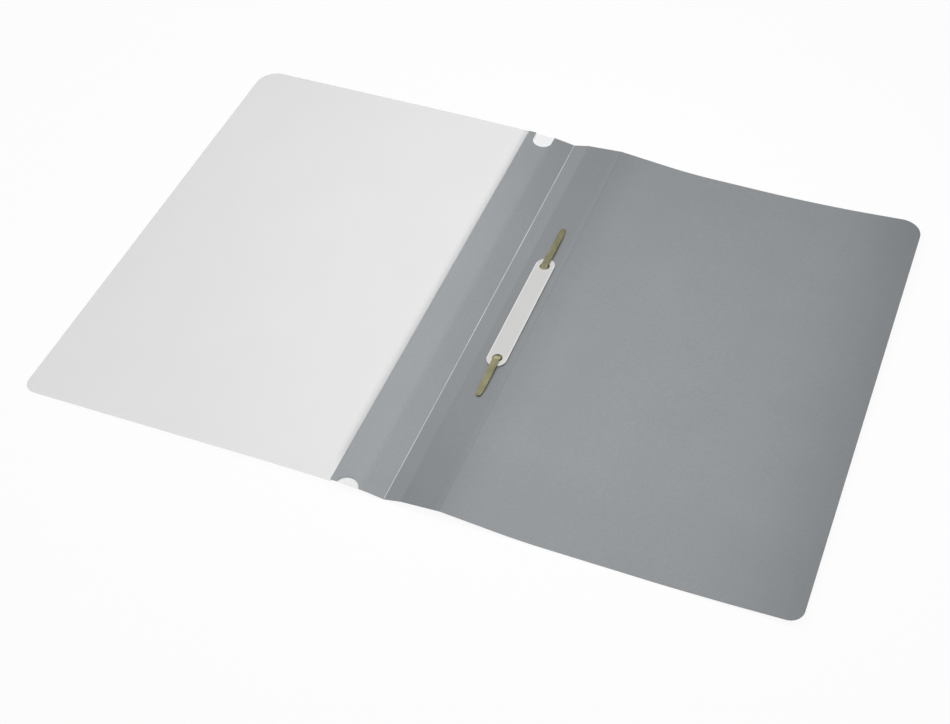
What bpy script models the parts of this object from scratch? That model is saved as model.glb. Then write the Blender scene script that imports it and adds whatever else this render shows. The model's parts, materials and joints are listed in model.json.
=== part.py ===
"""An A4 report file lying open, inside up, with its spine along Y.

One grey sheet is creased into a label flap, a spine, a binding margin and a back cover. A clear
front cover is welded to the flap, and a label card slides in the pocket between the two. A metal
strip comes up through the margin as two prongs, and a compressor bar sits on them.

Every sheet is drawn flat, as it is cut, and then bent along the line in which it lies on a table.
The margin, spine and front hang in a chain of empties, one on each crease.
"""

import math

import bmesh
import bpy

MM = 0.001

# Sheets: widths run across the file from crease to crease, the height runs along the spine
SHEET_HEIGHT = 310 * MM
BACK_WIDTH = 193 * MM
MARGIN_WIDTH = 22 * MM
SPINE_WIDTH = 10 * MM
FLAP_WIDTH = 31 * MM
FRONT_WIDTH = 220.5 * MM
FRONT_OVERHANG = 0.5 * MM
HEAD_CORNER_RADIUS = 13.5 * MM
FOOT_CORNER_RADIUS = 8 * MM
GREY_THICKNESS = 0.3 * MM
CLEAR_THICKNESS = 0.2 * MM
CREASE_GAP = 2 * GREY_THICKNESS
FRONT_WELD_INSET = 2 * MM

# Label pocket between the flap and the front cover
LABEL_WIDTH = 16.5 * MM
LABEL_END_GAP = 0.25 * MM
LABEL_THICKNESS = 0.2 * MM
LABEL_EDGE = 1.2 * MM
POCKET_CLEARANCE = 0.15 * MM
NOTCH_WIDTH = 12.4 * MM
HEAD_NOTCH_CENTRE = 20 * MM
HEAD_NOTCH_DEPTH = 12 * MM
FOOT_NOTCH_CENTRE = 21 * MM
FOOT_NOTCH_DEPTH = 5.3 * MM

# Fastener: a two-hole strip whose prongs turn out over the compressor bar
HOLE_SPACING = 80 * MM
FASTENER_INSET = 11.5 * MM
FASTENER_OFFSET = -1.6 * MM
BAR_WIDTH = 12 * MM
BAR_END = 6.75 * MM
BAR_THICKNESS = 0.7 * MM
BAR_BEVEL = 0.15 * MM
BAR_PLAY = 0.4 * MM
PRONG_WIDTH = 4.3 * MM
PRONG_THICKNESS = 0.4 * MM
UPPER_PRONG_LENGTH = 36.5 * MM
LOWER_PRONG_LENGTH = 32 * MM
PRONG_TAPER = 6 * MM
PRONG_TIP_RADIUS = 1.6 * MM
PRONG_DROOP = math.radians(1.6)
PRONG_BEND_GAP = 0.35 * MM
STUB_OFFSET = 1.2 * MM
BASE_WIDTH = 7 * MM
BASE_SHOULDER = 1.5 * MM
BASE_BEND_RADIUS = 0.5 * MM
SLOT_CLEARANCE = 0.4 * MM
HOLE_CLEARANCE = 0.4 * MM
SEAT_GAP = 0.15 * MM

# How the open file lies: the back ramps down from its crease, rests flat and curls up at the edge
BACK_RAMP_SLOPE = math.radians(5.4)
BACK_RAMP_LENGTH = 32 * MM
BACK_EASE_LENGTH = 32 * MM
BACK_REST_LENGTH = 40 * MM
BACK_CURL_LENGTH = 60 * MM
BACK_CURL = math.radians(3.3)
MARGIN_TILT = math.radians(4.6)
VALLEY_HEIGHT = 0.5 * MM
FLAP_RISE = math.radians(11.5)
FLAP_LEVEL = math.radians(0.5)
FRONT_EASE_LENGTH = 40 * MM
FRONT_EDGE_LIFT = 0.3 * MM

# Finishes: colour, roughness, metallic value and alpha
GREY_SHEET = ((0.30, 0.32, 0.33), 0.5, 0.0, 1.0)
CLEAR_SHEET = ((0.85, 0.86, 0.86), 0.3, 0.0, 0.35)
WHITE_CARD = ((0.88, 0.88, 0.86), 0.9, 0.0, 1.0)
BRASSED_STEEL = ((0.27, 0.25, 0.15), 0.35, 0.9, 1.0)
WHITE_PLASTIC = ((0.64, 0.63, 0.62), 0.45, 0.0, 1.0)

# Fineness of the facets
CORNER_STEPS = 8
HOLE_STEPS = 32
NOTCH_STEPS = 16
BEND_STEPS = 6
WELD_DISTANCE = 0.001 * MM

HALF_HEIGHT = SHEET_HEIGHT / 2
QUARTER_TURN = math.pi / 2


def arc(centre_x, centre_y, radius, start, end, steps):
    """Points on an arc, both ends included, with angles in radians."""
    points = []
    for step in range(steps + 1):
        angle = start + (end - start) * step / steps
        points.append((centre_x + radius * math.cos(angle), centre_y + radius * math.sin(angle)))
    return points


def circle(centre_x, centre_y, radius, steps):
    """A closed ring of points."""
    return arc(centre_x, centre_y, radius, 0, 2 * math.pi, steps)[:-1]


def rectangle(low_x, high_x, low_y, high_y):
    """The four corners of a rectangle, anticlockwise."""
    return [(low_x, low_y), (high_x, low_y), (high_x, high_y), (low_x, high_y)]


def round_corner(outer_x, edge_y, radius, start):
    """A quarter turn that rounds the corner at the crossing of an outer side and an end."""
    centre_y = edge_y - math.copysign(radius, edge_y)
    return arc(outer_x - radius, centre_y, radius, start, start + QUARTER_TURN, CORNER_STEPS)


def cover_outline(inner_x, outer_x, half_height):
    """A cover with a square side at the crease and two round outer corners, on either side of x = 0."""
    side = math.copysign(1, outer_x)
    points = [(abs(inner_x), -half_height)]
    points += round_corner(abs(outer_x), -half_height, FOOT_CORNER_RADIUS, -QUARTER_TURN)
    points += round_corner(abs(outer_x), half_height, HEAD_CORNER_RADIUS, 0)
    points.append((abs(inner_x), half_height))
    return [(side * x, y) for x, y in points]


def notch(centre_x, edge_y, depth):
    """A finger notch in an edge of the flap: a round bottom, with straight sides where it is deep."""
    half_width = NOTCH_WIDTH / 2
    radius = half_width
    if depth < half_width:
        radius = (half_width**2 + depth**2) / (2 * depth)
    half_angle = math.asin(min(1, half_width / radius))
    end_sign = math.copysign(1, edge_y)
    centre_y = abs(edge_y) - depth + radius
    start = -QUARTER_TURN - half_angle
    end = -QUARTER_TURN + half_angle
    points = arc(centre_x, centre_y, radius, start, end, NOTCH_STEPS)
    if depth > radius:
        points.insert(0, (centre_x - half_width, abs(edge_y)))
        points.append((centre_x + half_width, abs(edge_y)))
    return [(x, end_sign * y) for x, y in points]


def flap_outline():
    """The flap's strip, with a deep finger notch at its head and a shallow one at its foot."""
    foot = notch(-FOOT_NOTCH_CENTRE, -HALF_HEIGHT, FOOT_NOTCH_DEPTH)
    head = notch(-HEAD_NOTCH_CENTRE, HALF_HEIGHT, HEAD_NOTCH_DEPTH)
    inner_x = -CREASE_GAP / 2
    points = [(-FLAP_WIDTH, -HALF_HEIGHT), *foot, (inner_x, -HALF_HEIGHT)]
    points += [(inner_x, HALF_HEIGHT), *reversed(head), (-FLAP_WIDTH, HALF_HEIGHT)]
    return points


def bar_outline():
    """The compressor bar: straight sides and full-round ends."""
    radius = BAR_WIDTH / 2
    centre_y = HOLE_SPACING / 2 + BAR_END - radius
    points = arc(0, centre_y, radius, 0, math.pi, 2 * CORNER_STEPS)
    points += arc(0, -centre_y, radius, math.pi, 2 * math.pi, 2 * CORNER_STEPS)
    return points


def prong_outline(length):
    """A prong lying along +X from its bend, tapered to a round tip."""
    half_width = PRONG_WIDTH / 2
    shoulder_x = length - PRONG_TAPER
    tip = arc(length - PRONG_TIP_RADIUS, 0, PRONG_TIP_RADIUS, -QUARTER_TURN, QUARTER_TURN, CORNER_STEPS)
    points = [(PRONG_BEND_GAP, -half_width), (shoulder_x, -half_width), *tip]
    points += [(shoulder_x, half_width), (PRONG_BEND_GAP, half_width)]
    return points


def base_outline(half_length, shoulder_x):
    """The fastener strip before bending: a wide middle and two narrow ends."""
    narrow = PRONG_WIDTH / 2
    wide = BASE_WIDTH / 2
    wide_x = shoulder_x - BASE_SHOULDER
    quarter = [(half_length, narrow), (shoulder_x, narrow), (wide_x, wide)]
    points = [(x, -y) for x, y in reversed(quarter)]
    points += quarter
    points += [(-x, y) for x, y in reversed(quarter)]
    points += [(-x, -y) for x, y in quarter]
    return points


def follow(path, heading, distance):
    """Where a bent line gets to: its reach, its rise and its heading after a distance.

    The path is a list of stretches, each a length and the angle that it turns through, and it runs
    on straight after the last one.
    """
    reach = 0.0
    rise = 0.0
    for length, turn in path:
        step = min(distance, length)
        if turn:
            radius = length / turn
            end_heading = heading + step / radius
            reach += radius * (math.sin(end_heading) - math.sin(heading))
            rise += radius * (math.cos(heading) - math.cos(end_heading))
            heading = end_heading
        else:
            reach += step * math.cos(heading)
            rise += step * math.sin(heading)
        distance -= step
        if distance <= 0:
            return reach, rise, heading
    return reach + distance * math.cos(heading), rise + distance * math.sin(heading), heading


def bend_stations(path):
    """The distances along a path at which a sheet is scored before it is bent."""
    stations = []
    start = 0.0
    for length, turn in path:
        steps = BEND_STEPS if turn else 1
        stations += [start + length * step / steps for step in range(1, steps + 1)]
        start += length
    return stations


def flat_blank(loops, thickness):
    """A flat sheet in a bmesh, cut to closed outlines: the first is its edge, the rest are holes."""
    curve = bpy.data.curves.new("outline", "CURVE")
    curve.dimensions = "2D"
    curve.fill_mode = "BOTH"
    curve.extrude = thickness / 2
    for loop in loops:
        spline = curve.splines.new("POLY")
        spline.points.add(len(loop) - 1)
        for point, (x, y) in zip(spline.points, loop):
            point.co = (x, y, 0, 1)
        spline.use_cyclic_u = True
    outline = bpy.data.objects.new("outline", curve)
    bpy.context.scene.collection.objects.link(outline)
    evaluated = outline.evaluated_get(bpy.context.evaluated_depsgraph_get())
    mesh = bpy.data.meshes.new_from_object(evaluated)
    blank = bmesh.new()
    blank.from_mesh(mesh)
    bmesh.ops.remove_doubles(blank, verts=blank.verts, dist=WELD_DISTANCE)
    bpy.data.objects.remove(outline)
    bpy.data.curves.remove(curve)
    bpy.data.meshes.remove(mesh)
    return blank


def bend(blank, path, heading, layer=0.0):
    """Bend a flat blank out from x = 0 along a path, with its middle a layer's height off the path."""
    for station in bend_stations(path):
        for plane_x in (-station, station):
            geometry = [*blank.verts, *blank.edges, *blank.faces]
            bmesh.ops.bisect_plane(
                blank, geom=geometry, dist=WELD_DISTANCE, plane_co=(plane_x, 0, 0), plane_no=(1, 0, 0)
            )
    for vertex in blank.verts:
        side = math.copysign(1, vertex.co.x)
        height = vertex.co.z + layer
        reach, rise, slope = follow(path, heading, abs(vertex.co.x))
        vertex.co.x = side * (reach - height * math.sin(slope))
        vertex.co.z = rise + height * math.cos(slope)


def make_material(name, finish):
    """A plain Principled material of one part, in a finish."""
    colour, roughness, metallic, alpha = finish
    material = bpy.data.materials.new(name)
    material.use_nodes = True
    shader = material.node_tree.nodes["Principled BSDF"]
    shader.inputs["Base Color"].default_value = (*colour, 1.0)
    shader.inputs["Roughness"].default_value = roughness
    shader.inputs["Metallic"].default_value = metallic
    shader.inputs["Alpha"].default_value = alpha
    material.diffuse_color = (*colour, alpha)
    return material


def make_empty(name, collection, parent, location, turn_y=0.0):
    """An empty on a crease, turned about the crease."""
    empty = bpy.data.objects.new(name, None)
    empty.empty_display_size = SPINE_WIDTH
    empty.location = location
    empty.rotation_euler = (0, turn_y, 0)
    empty.parent = parent
    collection.objects.link(empty)
    return empty


def make_part(name, blank, finish, collection, parent, location=(0, 0, 0), turn=(0, 0, 0)):
    """A named part from a finished bmesh, hung on its parent."""
    bmesh.ops.recalc_face_normals(blank, faces=blank.faces)
    mesh = bpy.data.meshes.new(name)
    blank.to_mesh(mesh)
    blank.free()
    mesh.materials.append(make_material(name, finish))
    part = bpy.data.objects.new(name, mesh)
    part.location = location
    part.rotation_euler = turn
    part.parent = parent
    collection.objects.link(part)
    return part


def clear_scene():
    """Take every object out of the scene."""
    for existing in list(bpy.data.objects):
        bpy.data.objects.remove(existing, do_unlink=True)


def build_back(collection, crease, path):
    """The back cover, from the margin crease to its round outer corners."""
    blank = flat_blank([cover_outline(CREASE_GAP / 2, BACK_WIDTH, HALF_HEIGHT)], GREY_THICKNESS)
    bend(blank, path, -BACK_RAMP_SLOPE)
    make_part("back_cover", blank, GREY_SHEET, collection, crease)


def build_margin(collection, crease, fastener_x, stub_y):
    """The binding margin, with a slot for each prong."""
    half_width = PRONG_WIDTH / 2 + SLOT_CLEARANCE
    half_slot = PRONG_THICKNESS / 2 + SLOT_CLEARANCE
    loops = [rectangle(CREASE_GAP / 2 - MARGIN_WIDTH, -CREASE_GAP / 2, -HALF_HEIGHT, HALF_HEIGHT)]
    low_x = fastener_x - half_width
    high_x = fastener_x + half_width
    for slot_y in (FASTENER_OFFSET - stub_y, FASTENER_OFFSET + stub_y):
        loops.append(rectangle(low_x, high_x, slot_y - half_slot, slot_y + half_slot))
    make_part("binding_margin", flat_blank(loops, GREY_THICKNESS), GREY_SHEET, collection, crease)


def build_spine(collection, crease):
    """The spine panel between its two creases."""
    outline = rectangle(CREASE_GAP / 2 - SPINE_WIDTH, -CREASE_GAP / 2, -HALF_HEIGHT, HALF_HEIGHT)
    make_part("spine_panel", flat_blank([outline], GREY_THICKNESS), GREY_SHEET, collection, crease)


def build_front(collection, crease, path):
    """The label flap, the label card behind it and the clear cover behind both."""
    label_layer = -(GREY_THICKNESS + LABEL_THICKNESS) / 2 - POCKET_CLEARANCE
    front_layer = front_cover_layer()
    label_outer = LABEL_EDGE - FLAP_WIDTH

    flap = flat_blank([flap_outline()], GREY_THICKNESS)
    bend(flap, path, FLAP_RISE)
    make_part("label_flap", flap, GREY_SHEET, collection, crease)

    half_length = HALF_HEIGHT - LABEL_END_GAP
    label = flat_blank(
        [rectangle(label_outer, label_outer + LABEL_WIDTH, -half_length, half_length)], LABEL_THICKNESS
    )
    bend(label, path, FLAP_RISE, label_layer)
    make_part("label_card", label, WHITE_CARD, collection, crease)

    outline = cover_outline(-FRONT_WELD_INSET, -FRONT_WIDTH, HALF_HEIGHT + FRONT_OVERHANG)
    cover = flat_blank([outline], CLEAR_THICKNESS)
    bend(cover, path, FLAP_RISE, front_layer)
    make_part("front_cover", cover, CLEAR_SHEET, collection, crease)


def build_fastener(collection, crease, fastener_x, stub_y):
    """The metal strip with its two prongs, and the compressor bar on them."""
    bar_floor = GREY_THICKNESS / 2 + SEAT_GAP
    prong_height = bar_floor + BAR_THICKNESS + BAR_PLAY + SEAT_GAP + PRONG_THICKNESS / 2
    base_height = -(GREY_THICKNESS + PRONG_THICKNESS) / 2 - SEAT_GAP

    bend_start = stub_y - BASE_BEND_RADIUS
    bend_length = QUARTER_TURN * BASE_BEND_RADIUS
    stub_rise = prong_height - PRONG_BEND_GAP - base_height - BASE_BEND_RADIUS
    base_path = [(bend_start, 0), (bend_length, QUARTER_TURN)]
    half_length = bend_start + bend_length + stub_rise
    strip = flat_blank([base_outline(half_length, bend_start - BASE_BEND_RADIUS)], PRONG_THICKNESS)
    bend(strip, base_path, 0)
    place = (fastener_x, FASTENER_OFFSET, base_height)
    make_part("fastener_base", strip, BRASSED_STEEL, collection, crease, place, (0, 0, QUARTER_TURN))

    prongs = (("prong_upper", 1, UPPER_PRONG_LENGTH), ("prong_lower", -1, LOWER_PRONG_LENGTH))
    for name, side, length in prongs:
        tongue = flat_blank([prong_outline(length)], PRONG_THICKNESS)
        place = (fastener_x, FASTENER_OFFSET + side * stub_y, prong_height)
        turn = (0, PRONG_DROOP, side * QUARTER_TURN)
        make_part(name, tongue, BRASSED_STEEL, collection, crease, place, turn)

    hole_radius = math.hypot(PRONG_WIDTH / 2, STUB_OFFSET + PRONG_THICKNESS / 2) + HOLE_CLEARANCE
    loops = [bar_outline()]
    for hole_y in (-HOLE_SPACING / 2, HOLE_SPACING / 2):
        loops.append(circle(0, hole_y, hole_radius, HOLE_STEPS))
    place = (fastener_x, FASTENER_OFFSET, bar_floor + BAR_THICKNESS / 2)
    bar = make_part(
        "compressor_bar", flat_blank(loops, BAR_THICKNESS), WHITE_PLASTIC, collection, crease, place
    )
    bevel = bar.modifiers.new("rounded_edges", "BEVEL")
    bevel.width = BAR_BEVEL
    bevel.segments = 1
    bevel.limit_method = "ANGLE"


def front_cover_layer():
    """How far the clear cover's middle lies behind the flap's middle."""
    pocket_depth = LABEL_THICKNESS + 2 * POCKET_CLEARANCE
    return -(GREY_THICKNESS + CLEAR_THICKNESS) / 2 - pocket_depth


def back_path():
    """The back cover's line: down a ramp, level on the table, then a slow curl up."""
    return [
        (BACK_RAMP_LENGTH, 0),
        (BACK_EASE_LENGTH, BACK_RAMP_SLOPE),
        (BACK_REST_LENGTH, 0),
        (BACK_CURL_LENGTH, BACK_CURL),
    ]


def front_path():
    """The front's line: the flap arches up, and the cover runs down until its edge nears the table."""
    arch = [(FLAP_WIDTH, FLAP_LEVEL - FLAP_RISE)]
    flap_height = VALLEY_HEIGHT + follow(arch, FLAP_RISE, FLAP_WIDTH)[1]
    edge_height = FRONT_EDGE_LIFT + CLEAR_THICKNESS / 2 - front_cover_layer()
    straight_length = FRONT_WIDTH - FLAP_WIDTH - FRONT_EASE_LENGTH
    half_ease = FRONT_EASE_LENGTH / 2
    end_slope = (edge_height - flap_height - half_ease * FLAP_LEVEL) / (half_ease + straight_length)
    return arch + [(FRONT_EASE_LENGTH, end_slope - FLAP_LEVEL)]


def build_file():
    """Build the whole file, with the middle of its footprint at the origin."""
    clear_scene()
    collection = bpy.data.collections.new("report_file")
    bpy.context.scene.collection.children.link(collection)

    back = back_path()
    front = front_path()
    ridge_height = GREY_THICKNESS / 2 - follow(back, -BACK_RAMP_SLOPE, BACK_RAMP_LENGTH + BACK_EASE_LENGTH)[1]
    spine_crease_height = ridge_height - MARGIN_WIDTH * math.sin(MARGIN_TILT)
    spine_tilt = math.asin((spine_crease_height - VALLEY_HEIGHT) / SPINE_WIDTH)

    back_reach = follow(back, -BACK_RAMP_SLOPE, BACK_WIDTH)[0]
    front_reach = follow(front, FLAP_RISE, FRONT_WIDTH)[0]
    middle_reach = MARGIN_WIDTH * math.cos(MARGIN_TILT) + SPINE_WIDTH * math.cos(spine_tilt)
    ridge_x = (front_reach + middle_reach - back_reach) / 2

    fastener_x = FASTENER_INSET - MARGIN_WIDTH
    stub_y = HOLE_SPACING / 2 - STUB_OFFSET

    ridge = make_empty("margin_ridge", collection, None, (ridge_x, 0, ridge_height))
    margin_crease = make_empty("margin_crease", collection, ridge, (0, 0, 0), -MARGIN_TILT)
    spine_crease = make_empty(
        "spine_crease", collection, margin_crease, (-MARGIN_WIDTH, 0, 0), MARGIN_TILT - spine_tilt
    )
    front_crease = make_empty("front_crease", collection, spine_crease, (-SPINE_WIDTH, 0, 0), spine_tilt)

    build_back(collection, ridge, back)
    build_margin(collection, margin_crease, fastener_x, stub_y)
    build_spine(collection, spine_crease)
    build_front(collection, front_crease, front)
    build_fastener(collection, margin_crease, fastener_x, stub_y)


build_file()
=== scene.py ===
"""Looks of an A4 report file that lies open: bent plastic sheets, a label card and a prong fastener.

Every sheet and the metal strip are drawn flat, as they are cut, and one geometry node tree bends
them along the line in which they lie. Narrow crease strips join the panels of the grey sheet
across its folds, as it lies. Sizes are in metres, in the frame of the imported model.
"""

import json
import logging
import math
from collections import Counter
from dataclasses import dataclass, field
from enum import Enum
from typing import Any, Iterable, Mapping, Sequence

import bpy
import numpy as np
from mathutils import Matrix, Vector
from mathutils.geometry import delaunay_2d_cdt

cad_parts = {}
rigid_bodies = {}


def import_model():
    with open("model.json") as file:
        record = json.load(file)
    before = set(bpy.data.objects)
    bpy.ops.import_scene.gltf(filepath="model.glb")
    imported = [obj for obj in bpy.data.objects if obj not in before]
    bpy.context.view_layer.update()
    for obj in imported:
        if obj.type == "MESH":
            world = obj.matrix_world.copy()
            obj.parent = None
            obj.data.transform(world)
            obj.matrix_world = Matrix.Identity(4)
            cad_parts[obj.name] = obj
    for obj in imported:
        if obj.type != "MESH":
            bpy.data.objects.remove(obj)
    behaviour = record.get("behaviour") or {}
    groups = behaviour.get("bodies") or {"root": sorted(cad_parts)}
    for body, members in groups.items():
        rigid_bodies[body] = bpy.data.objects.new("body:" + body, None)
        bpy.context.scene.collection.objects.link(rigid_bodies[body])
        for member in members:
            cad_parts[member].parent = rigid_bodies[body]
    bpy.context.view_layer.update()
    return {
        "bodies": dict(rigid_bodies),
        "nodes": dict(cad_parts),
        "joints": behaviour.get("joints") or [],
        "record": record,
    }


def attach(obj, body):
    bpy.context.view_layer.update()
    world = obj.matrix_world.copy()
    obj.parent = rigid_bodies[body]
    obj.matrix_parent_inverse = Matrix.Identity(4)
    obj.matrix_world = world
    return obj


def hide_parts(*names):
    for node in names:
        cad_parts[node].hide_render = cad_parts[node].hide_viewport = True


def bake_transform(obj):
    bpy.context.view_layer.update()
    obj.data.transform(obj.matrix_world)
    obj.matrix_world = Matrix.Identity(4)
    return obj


Point = tuple[float, float]
Place = tuple[float, float, float]
Colour = tuple[float, float, float]
Loop = list[Point]

MM = 0.001
FAR = 1.0  # further off than any edge of the file
QUARTER_TURN = math.pi / 2
SMOOTH_ANGLE = math.radians(30)
SHEET_GREY: Colour = (0.305, 0.324, 0.338)
SHEET_IOR = 1.49
PATTERN_MIDDLE = 0.5  # what a random pattern swings about

log = logging.getLogger("report_file")


class Slot(Enum):
    """The record's material slots."""

    GREY_SHEET = "grey_sheet"
    CLEAR_SHEET = "clear_sheet"
    LABEL_PAPER = "label_paper"
    FASTENER_METAL = "fastener_metal"
    BAR_PLASTIC = "bar_plastic"


class Body(Enum):
    """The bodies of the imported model."""

    BACK = "back"
    MARGIN = "margin"
    SPINE = "spine"
    FRONT = "front"
    LABEL = "label"
    COMPRESSOR = "compressor"
    UPPER_PRONG = "upper_prong"
    LOWER_PRONG = "lower_prong"


# Node trees


class Wire:
    """A socket of a node tree that maths can be written on."""

    def __init__(self, bench: "NodeBench", socket: bpy.types.NodeSocket) -> None:
        """Wrap one socket of a bench's tree."""
        self.bench = bench
        self.socket = socket

    def maths(self, operation: str, *values: "Number") -> "Wire":
        """Add a Math node.

        Args:
            operation: The Math node's operation.
            values: Its inputs, as wires or numbers.

        Returns:
            The node's result.
        """
        return self.bench.add("ShaderNodeMath", {"operation": operation}, dict(enumerate(values)))

    def __add__(self, other: "Number") -> "Wire":
        """Self plus other."""
        return self.maths("ADD", self, other)

    def __radd__(self, other: "Number") -> "Wire":
        """Other plus self."""
        return self.maths("ADD", other, self)

    def __sub__(self, other: "Number") -> "Wire":
        """Self minus other."""
        return self.maths("SUBTRACT", self, other)

    def __rsub__(self, other: "Number") -> "Wire":
        """Other minus self."""
        return self.maths("SUBTRACT", other, self)

    def __mul__(self, other: "Number") -> "Wire":
        """Self times other."""
        return self.maths("MULTIPLY", self, other)

    def __rmul__(self, other: "Number") -> "Wire":
        """Other times self."""
        return self.maths("MULTIPLY", other, self)

    def __truediv__(self, other: "Number") -> "Wire":
        """Self over other."""
        return self.maths("DIVIDE", self, other)

    def __rtruediv__(self, other: "Number") -> "Wire":
        """Other over self."""
        return self.maths("DIVIDE", other, self)

    def __abs__(self) -> "Wire":
        """The size of the value, without its sign."""
        return self.maths("ABSOLUTE", self)

    def at_least(self, floor: "Number") -> "Wire":
        """The value, held up to a floor."""
        return self.maths("MAXIMUM", self, floor)

    def at_most(self, ceiling: "Number") -> "Wire":
        """The value, held down to a ceiling."""
        return self.maths("MINIMUM", self, ceiling)

    def ease(self, low: "Number", high: "Number") -> "Wire":
        """Rise smoothly from 0 to 1 as the value goes from low to high.

        Args:
            low: The value below which the result is 0.
            high: The value above which the result is 1.

        Returns:
            The eased result.
        """
        settings = {"interpolation_type": "SMOOTHSTEP", "clamp": True}
        sockets = {"Value": self, "From Min": low, "From Max": high}
        return self.bench.add("ShaderNodeMapRange", settings, sockets)

    def sibling(self, output: str) -> "Wire":
        """Another output of the same node."""
        return Wire(self.bench, self.socket.node.outputs[output])


Number = Wire | float | int


class NodeBench:
    """A node tree that is being wired up."""

    def __init__(self, tree: bpy.types.NodeTree) -> None:
        """Work on one tree."""
        self.tree = tree

    def add(
        self,
        kind: str,
        settings: Mapping[str, Any] | None = None,
        sockets: Mapping[str | int, Any] | None = None,
        output: str | int = 0,
    ) -> Wire:
        """Add any node.

        Args:
            kind: The node's type.
            settings: Its own properties, set before its sockets.
            sockets: Values or wires for its inputs, by index, identifier or name.
            output: The output to hand back.

        Returns:
            The chosen output, or the first input of a node without outputs.
        """
        node = self.tree.nodes.new(kind)
        for name, value in (settings or {}).items():
            setattr(node, name, value)
        self.fill(node, sockets or {})
        if not len(node.outputs):
            return Wire(self, node.inputs[0])
        return Wire(self, self.find(node.outputs, output))

    def fill(self, node: bpy.types.Node, sockets: Mapping[str | int, Any]) -> None:
        """Set or wire a node's inputs.

        Args:
            node: The node.
            sockets: Values or wires, by index, identifier or name.
        """
        for key, value in sockets.items():
            socket = self.find(node.inputs, key)
            if isinstance(value, Wire):
                self.tree.links.new(value.socket, socket)
            else:
                socket.default_value = value

    @staticmethod
    def find(sockets: Any, key: str | int) -> bpy.types.NodeSocket:
        """Find one of a node's inputs or outputs by its index, its identifier or else its name."""
        matches = [socket for socket in sockets if socket.identifier == key]
        return matches[0] if matches else sockets[key]

    def xyz(self, vector: Wire) -> tuple[Wire, Wire, Wire]:
        """The three parts of a vector."""
        x = self.add("ShaderNodeSeparateXYZ", None, {"Vector": vector}, "X")
        return x, x.sibling("Y"), x.sibling("Z")

    def vector(self, x: Number, y: Number, z: Number) -> Wire:
        """A vector from its three parts."""
        return self.add("ShaderNodeCombineXYZ", None, {"X": x, "Y": y, "Z": z})

    def tinted(self, colour: Colour | Wire, tone: Number) -> Wire:
        """A colour, made lighter or darker by a tone."""
        return self.add("ShaderNodeVectorMath", {"operation": "SCALE"}, {0: colour, "Scale": tone})

    def mixed(self, share: Number, first: Colour | Wire, second: Colour | Wire) -> Wire:
        """Mix two colours.

        Args:
            share: The share of the second colour.
            first: The first colour.
            second: The second colour.

        Returns:
            The mixed colour.
        """
        first, second = (part if isinstance(part, Wire) else (*part, 1.0) for part in (first, second))
        sockets = {"Factor_Float": share, "A_Color": first, "B_Color": second}
        return self.add("ShaderNodeMix", {"data_type": "RGBA"}, sockets, "Result_Color")


@dataclass(frozen=True)
class Grain:
    """A soft random pattern: its blobs' size, its finer layers, and how far it is drawn out along Y."""

    size: float
    layers: float = 2.0
    drawn_out: float = 1.0


class SurfaceBench(NodeBench):
    """A material's tree, with its shader and its object coordinates."""

    def __init__(self, name: str) -> None:
        """Start a material with an empty tree and a Principled shader."""
        self.material = bpy.data.materials.new(name)
        self.material.use_nodes = True
        super().__init__(self.material.node_tree)
        self.tree.nodes.clear()
        self.shader = self.add("ShaderNodeBsdfPrincipled")
        self.add("ShaderNodeOutputMaterial", None, {"Surface": self.shader})
        self.place = self.add("ShaderNodeTexCoord", None, None, "Object")

    def set(self, sockets: Mapping[str, Any]) -> None:
        """Set or wire the shader's sockets."""
        self.fill(self.shader.socket.node, sockets)

    def pattern(self, grain: Grain) -> Wire:
        """Lay a random pattern over the surface.

        Args:
            grain: The kind of pattern.

        Returns:
            A value between 0 and 1.
        """
        place = self.place
        if grain.drawn_out != 1:
            sockets = {"Vector": place, "Scale": (1.0, 1 / grain.drawn_out, 1.0)}
            place = self.add("ShaderNodeMapping", None, sockets)
        sockets = {"Vector": place, "Scale": 1 / grain.size, "Detail": grain.layers}
        return self.add("ShaderNodeTexNoise", None, sockets, "Fac")

    def bump(self, height: Wire, depth: float) -> None:
        """Raise the surface by a pattern.

        Args:
            height: The pattern, from 0 to 1.
            depth: How far it is raised, in metres.
        """
        sockets = {"Height": height, "Distance": depth, "Strength": 1.0}
        self.set({"Normal": self.add("ShaderNodeBump", None, sockets)})


# Finishes


class Run(Enum):
    """Which way a stretch of the sheet is measured."""

    ACROSS = 0
    ALONG = 1


@dataclass(frozen=True)
class ToneZone:
    """A stretch of the file in which a surface's colour is made lighter or darker, as painted light and
    shade.
    """

    start: float
    end: float
    tone: float
    soft: float = 0.6 * MM
    run: Run = Run.ACROSS

    def over(self, place: Sequence[Wire], tone: Wire) -> Wire:
        """Lighten or darken a tone within the stretch.

        Args:
            place: The coordinates on the surface.
            tone: The tone before.

        Returns:
            The tone after.
        """
        way = place[self.run.value]
        half = self.soft / 2
        inside = way.ease(self.start - half, self.start + half)
        inside = inside * (1 - way.ease(self.end - half, self.end + half))
        return tone * (1 + inside * (self.tone - 1))


@dataclass(frozen=True)
class ToneSpot:
    """A round patch in which a surface's colour is made lighter or darker, as painted light and shade."""

    centre: Point
    radius: float
    tone: float
    soft: float = 0.8 * MM

    def over(self, place: Sequence[Wire], tone: Wire) -> Wire:
        """Lighten or darken a tone within the patch.

        Args:
            place: The coordinates on the surface.
            tone: The tone before.

        Returns:
            The tone after.
        """
        across = place[0] - self.centre[0]
        along = place[1] - self.centre[1]
        square = across * across + along * along
        half = self.soft / 2
        inside = 1 - square.ease((self.radius - half) ** 2, (self.radius + half) ** 2)
        return tone * (1 + inside * (self.tone - 1))


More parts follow.
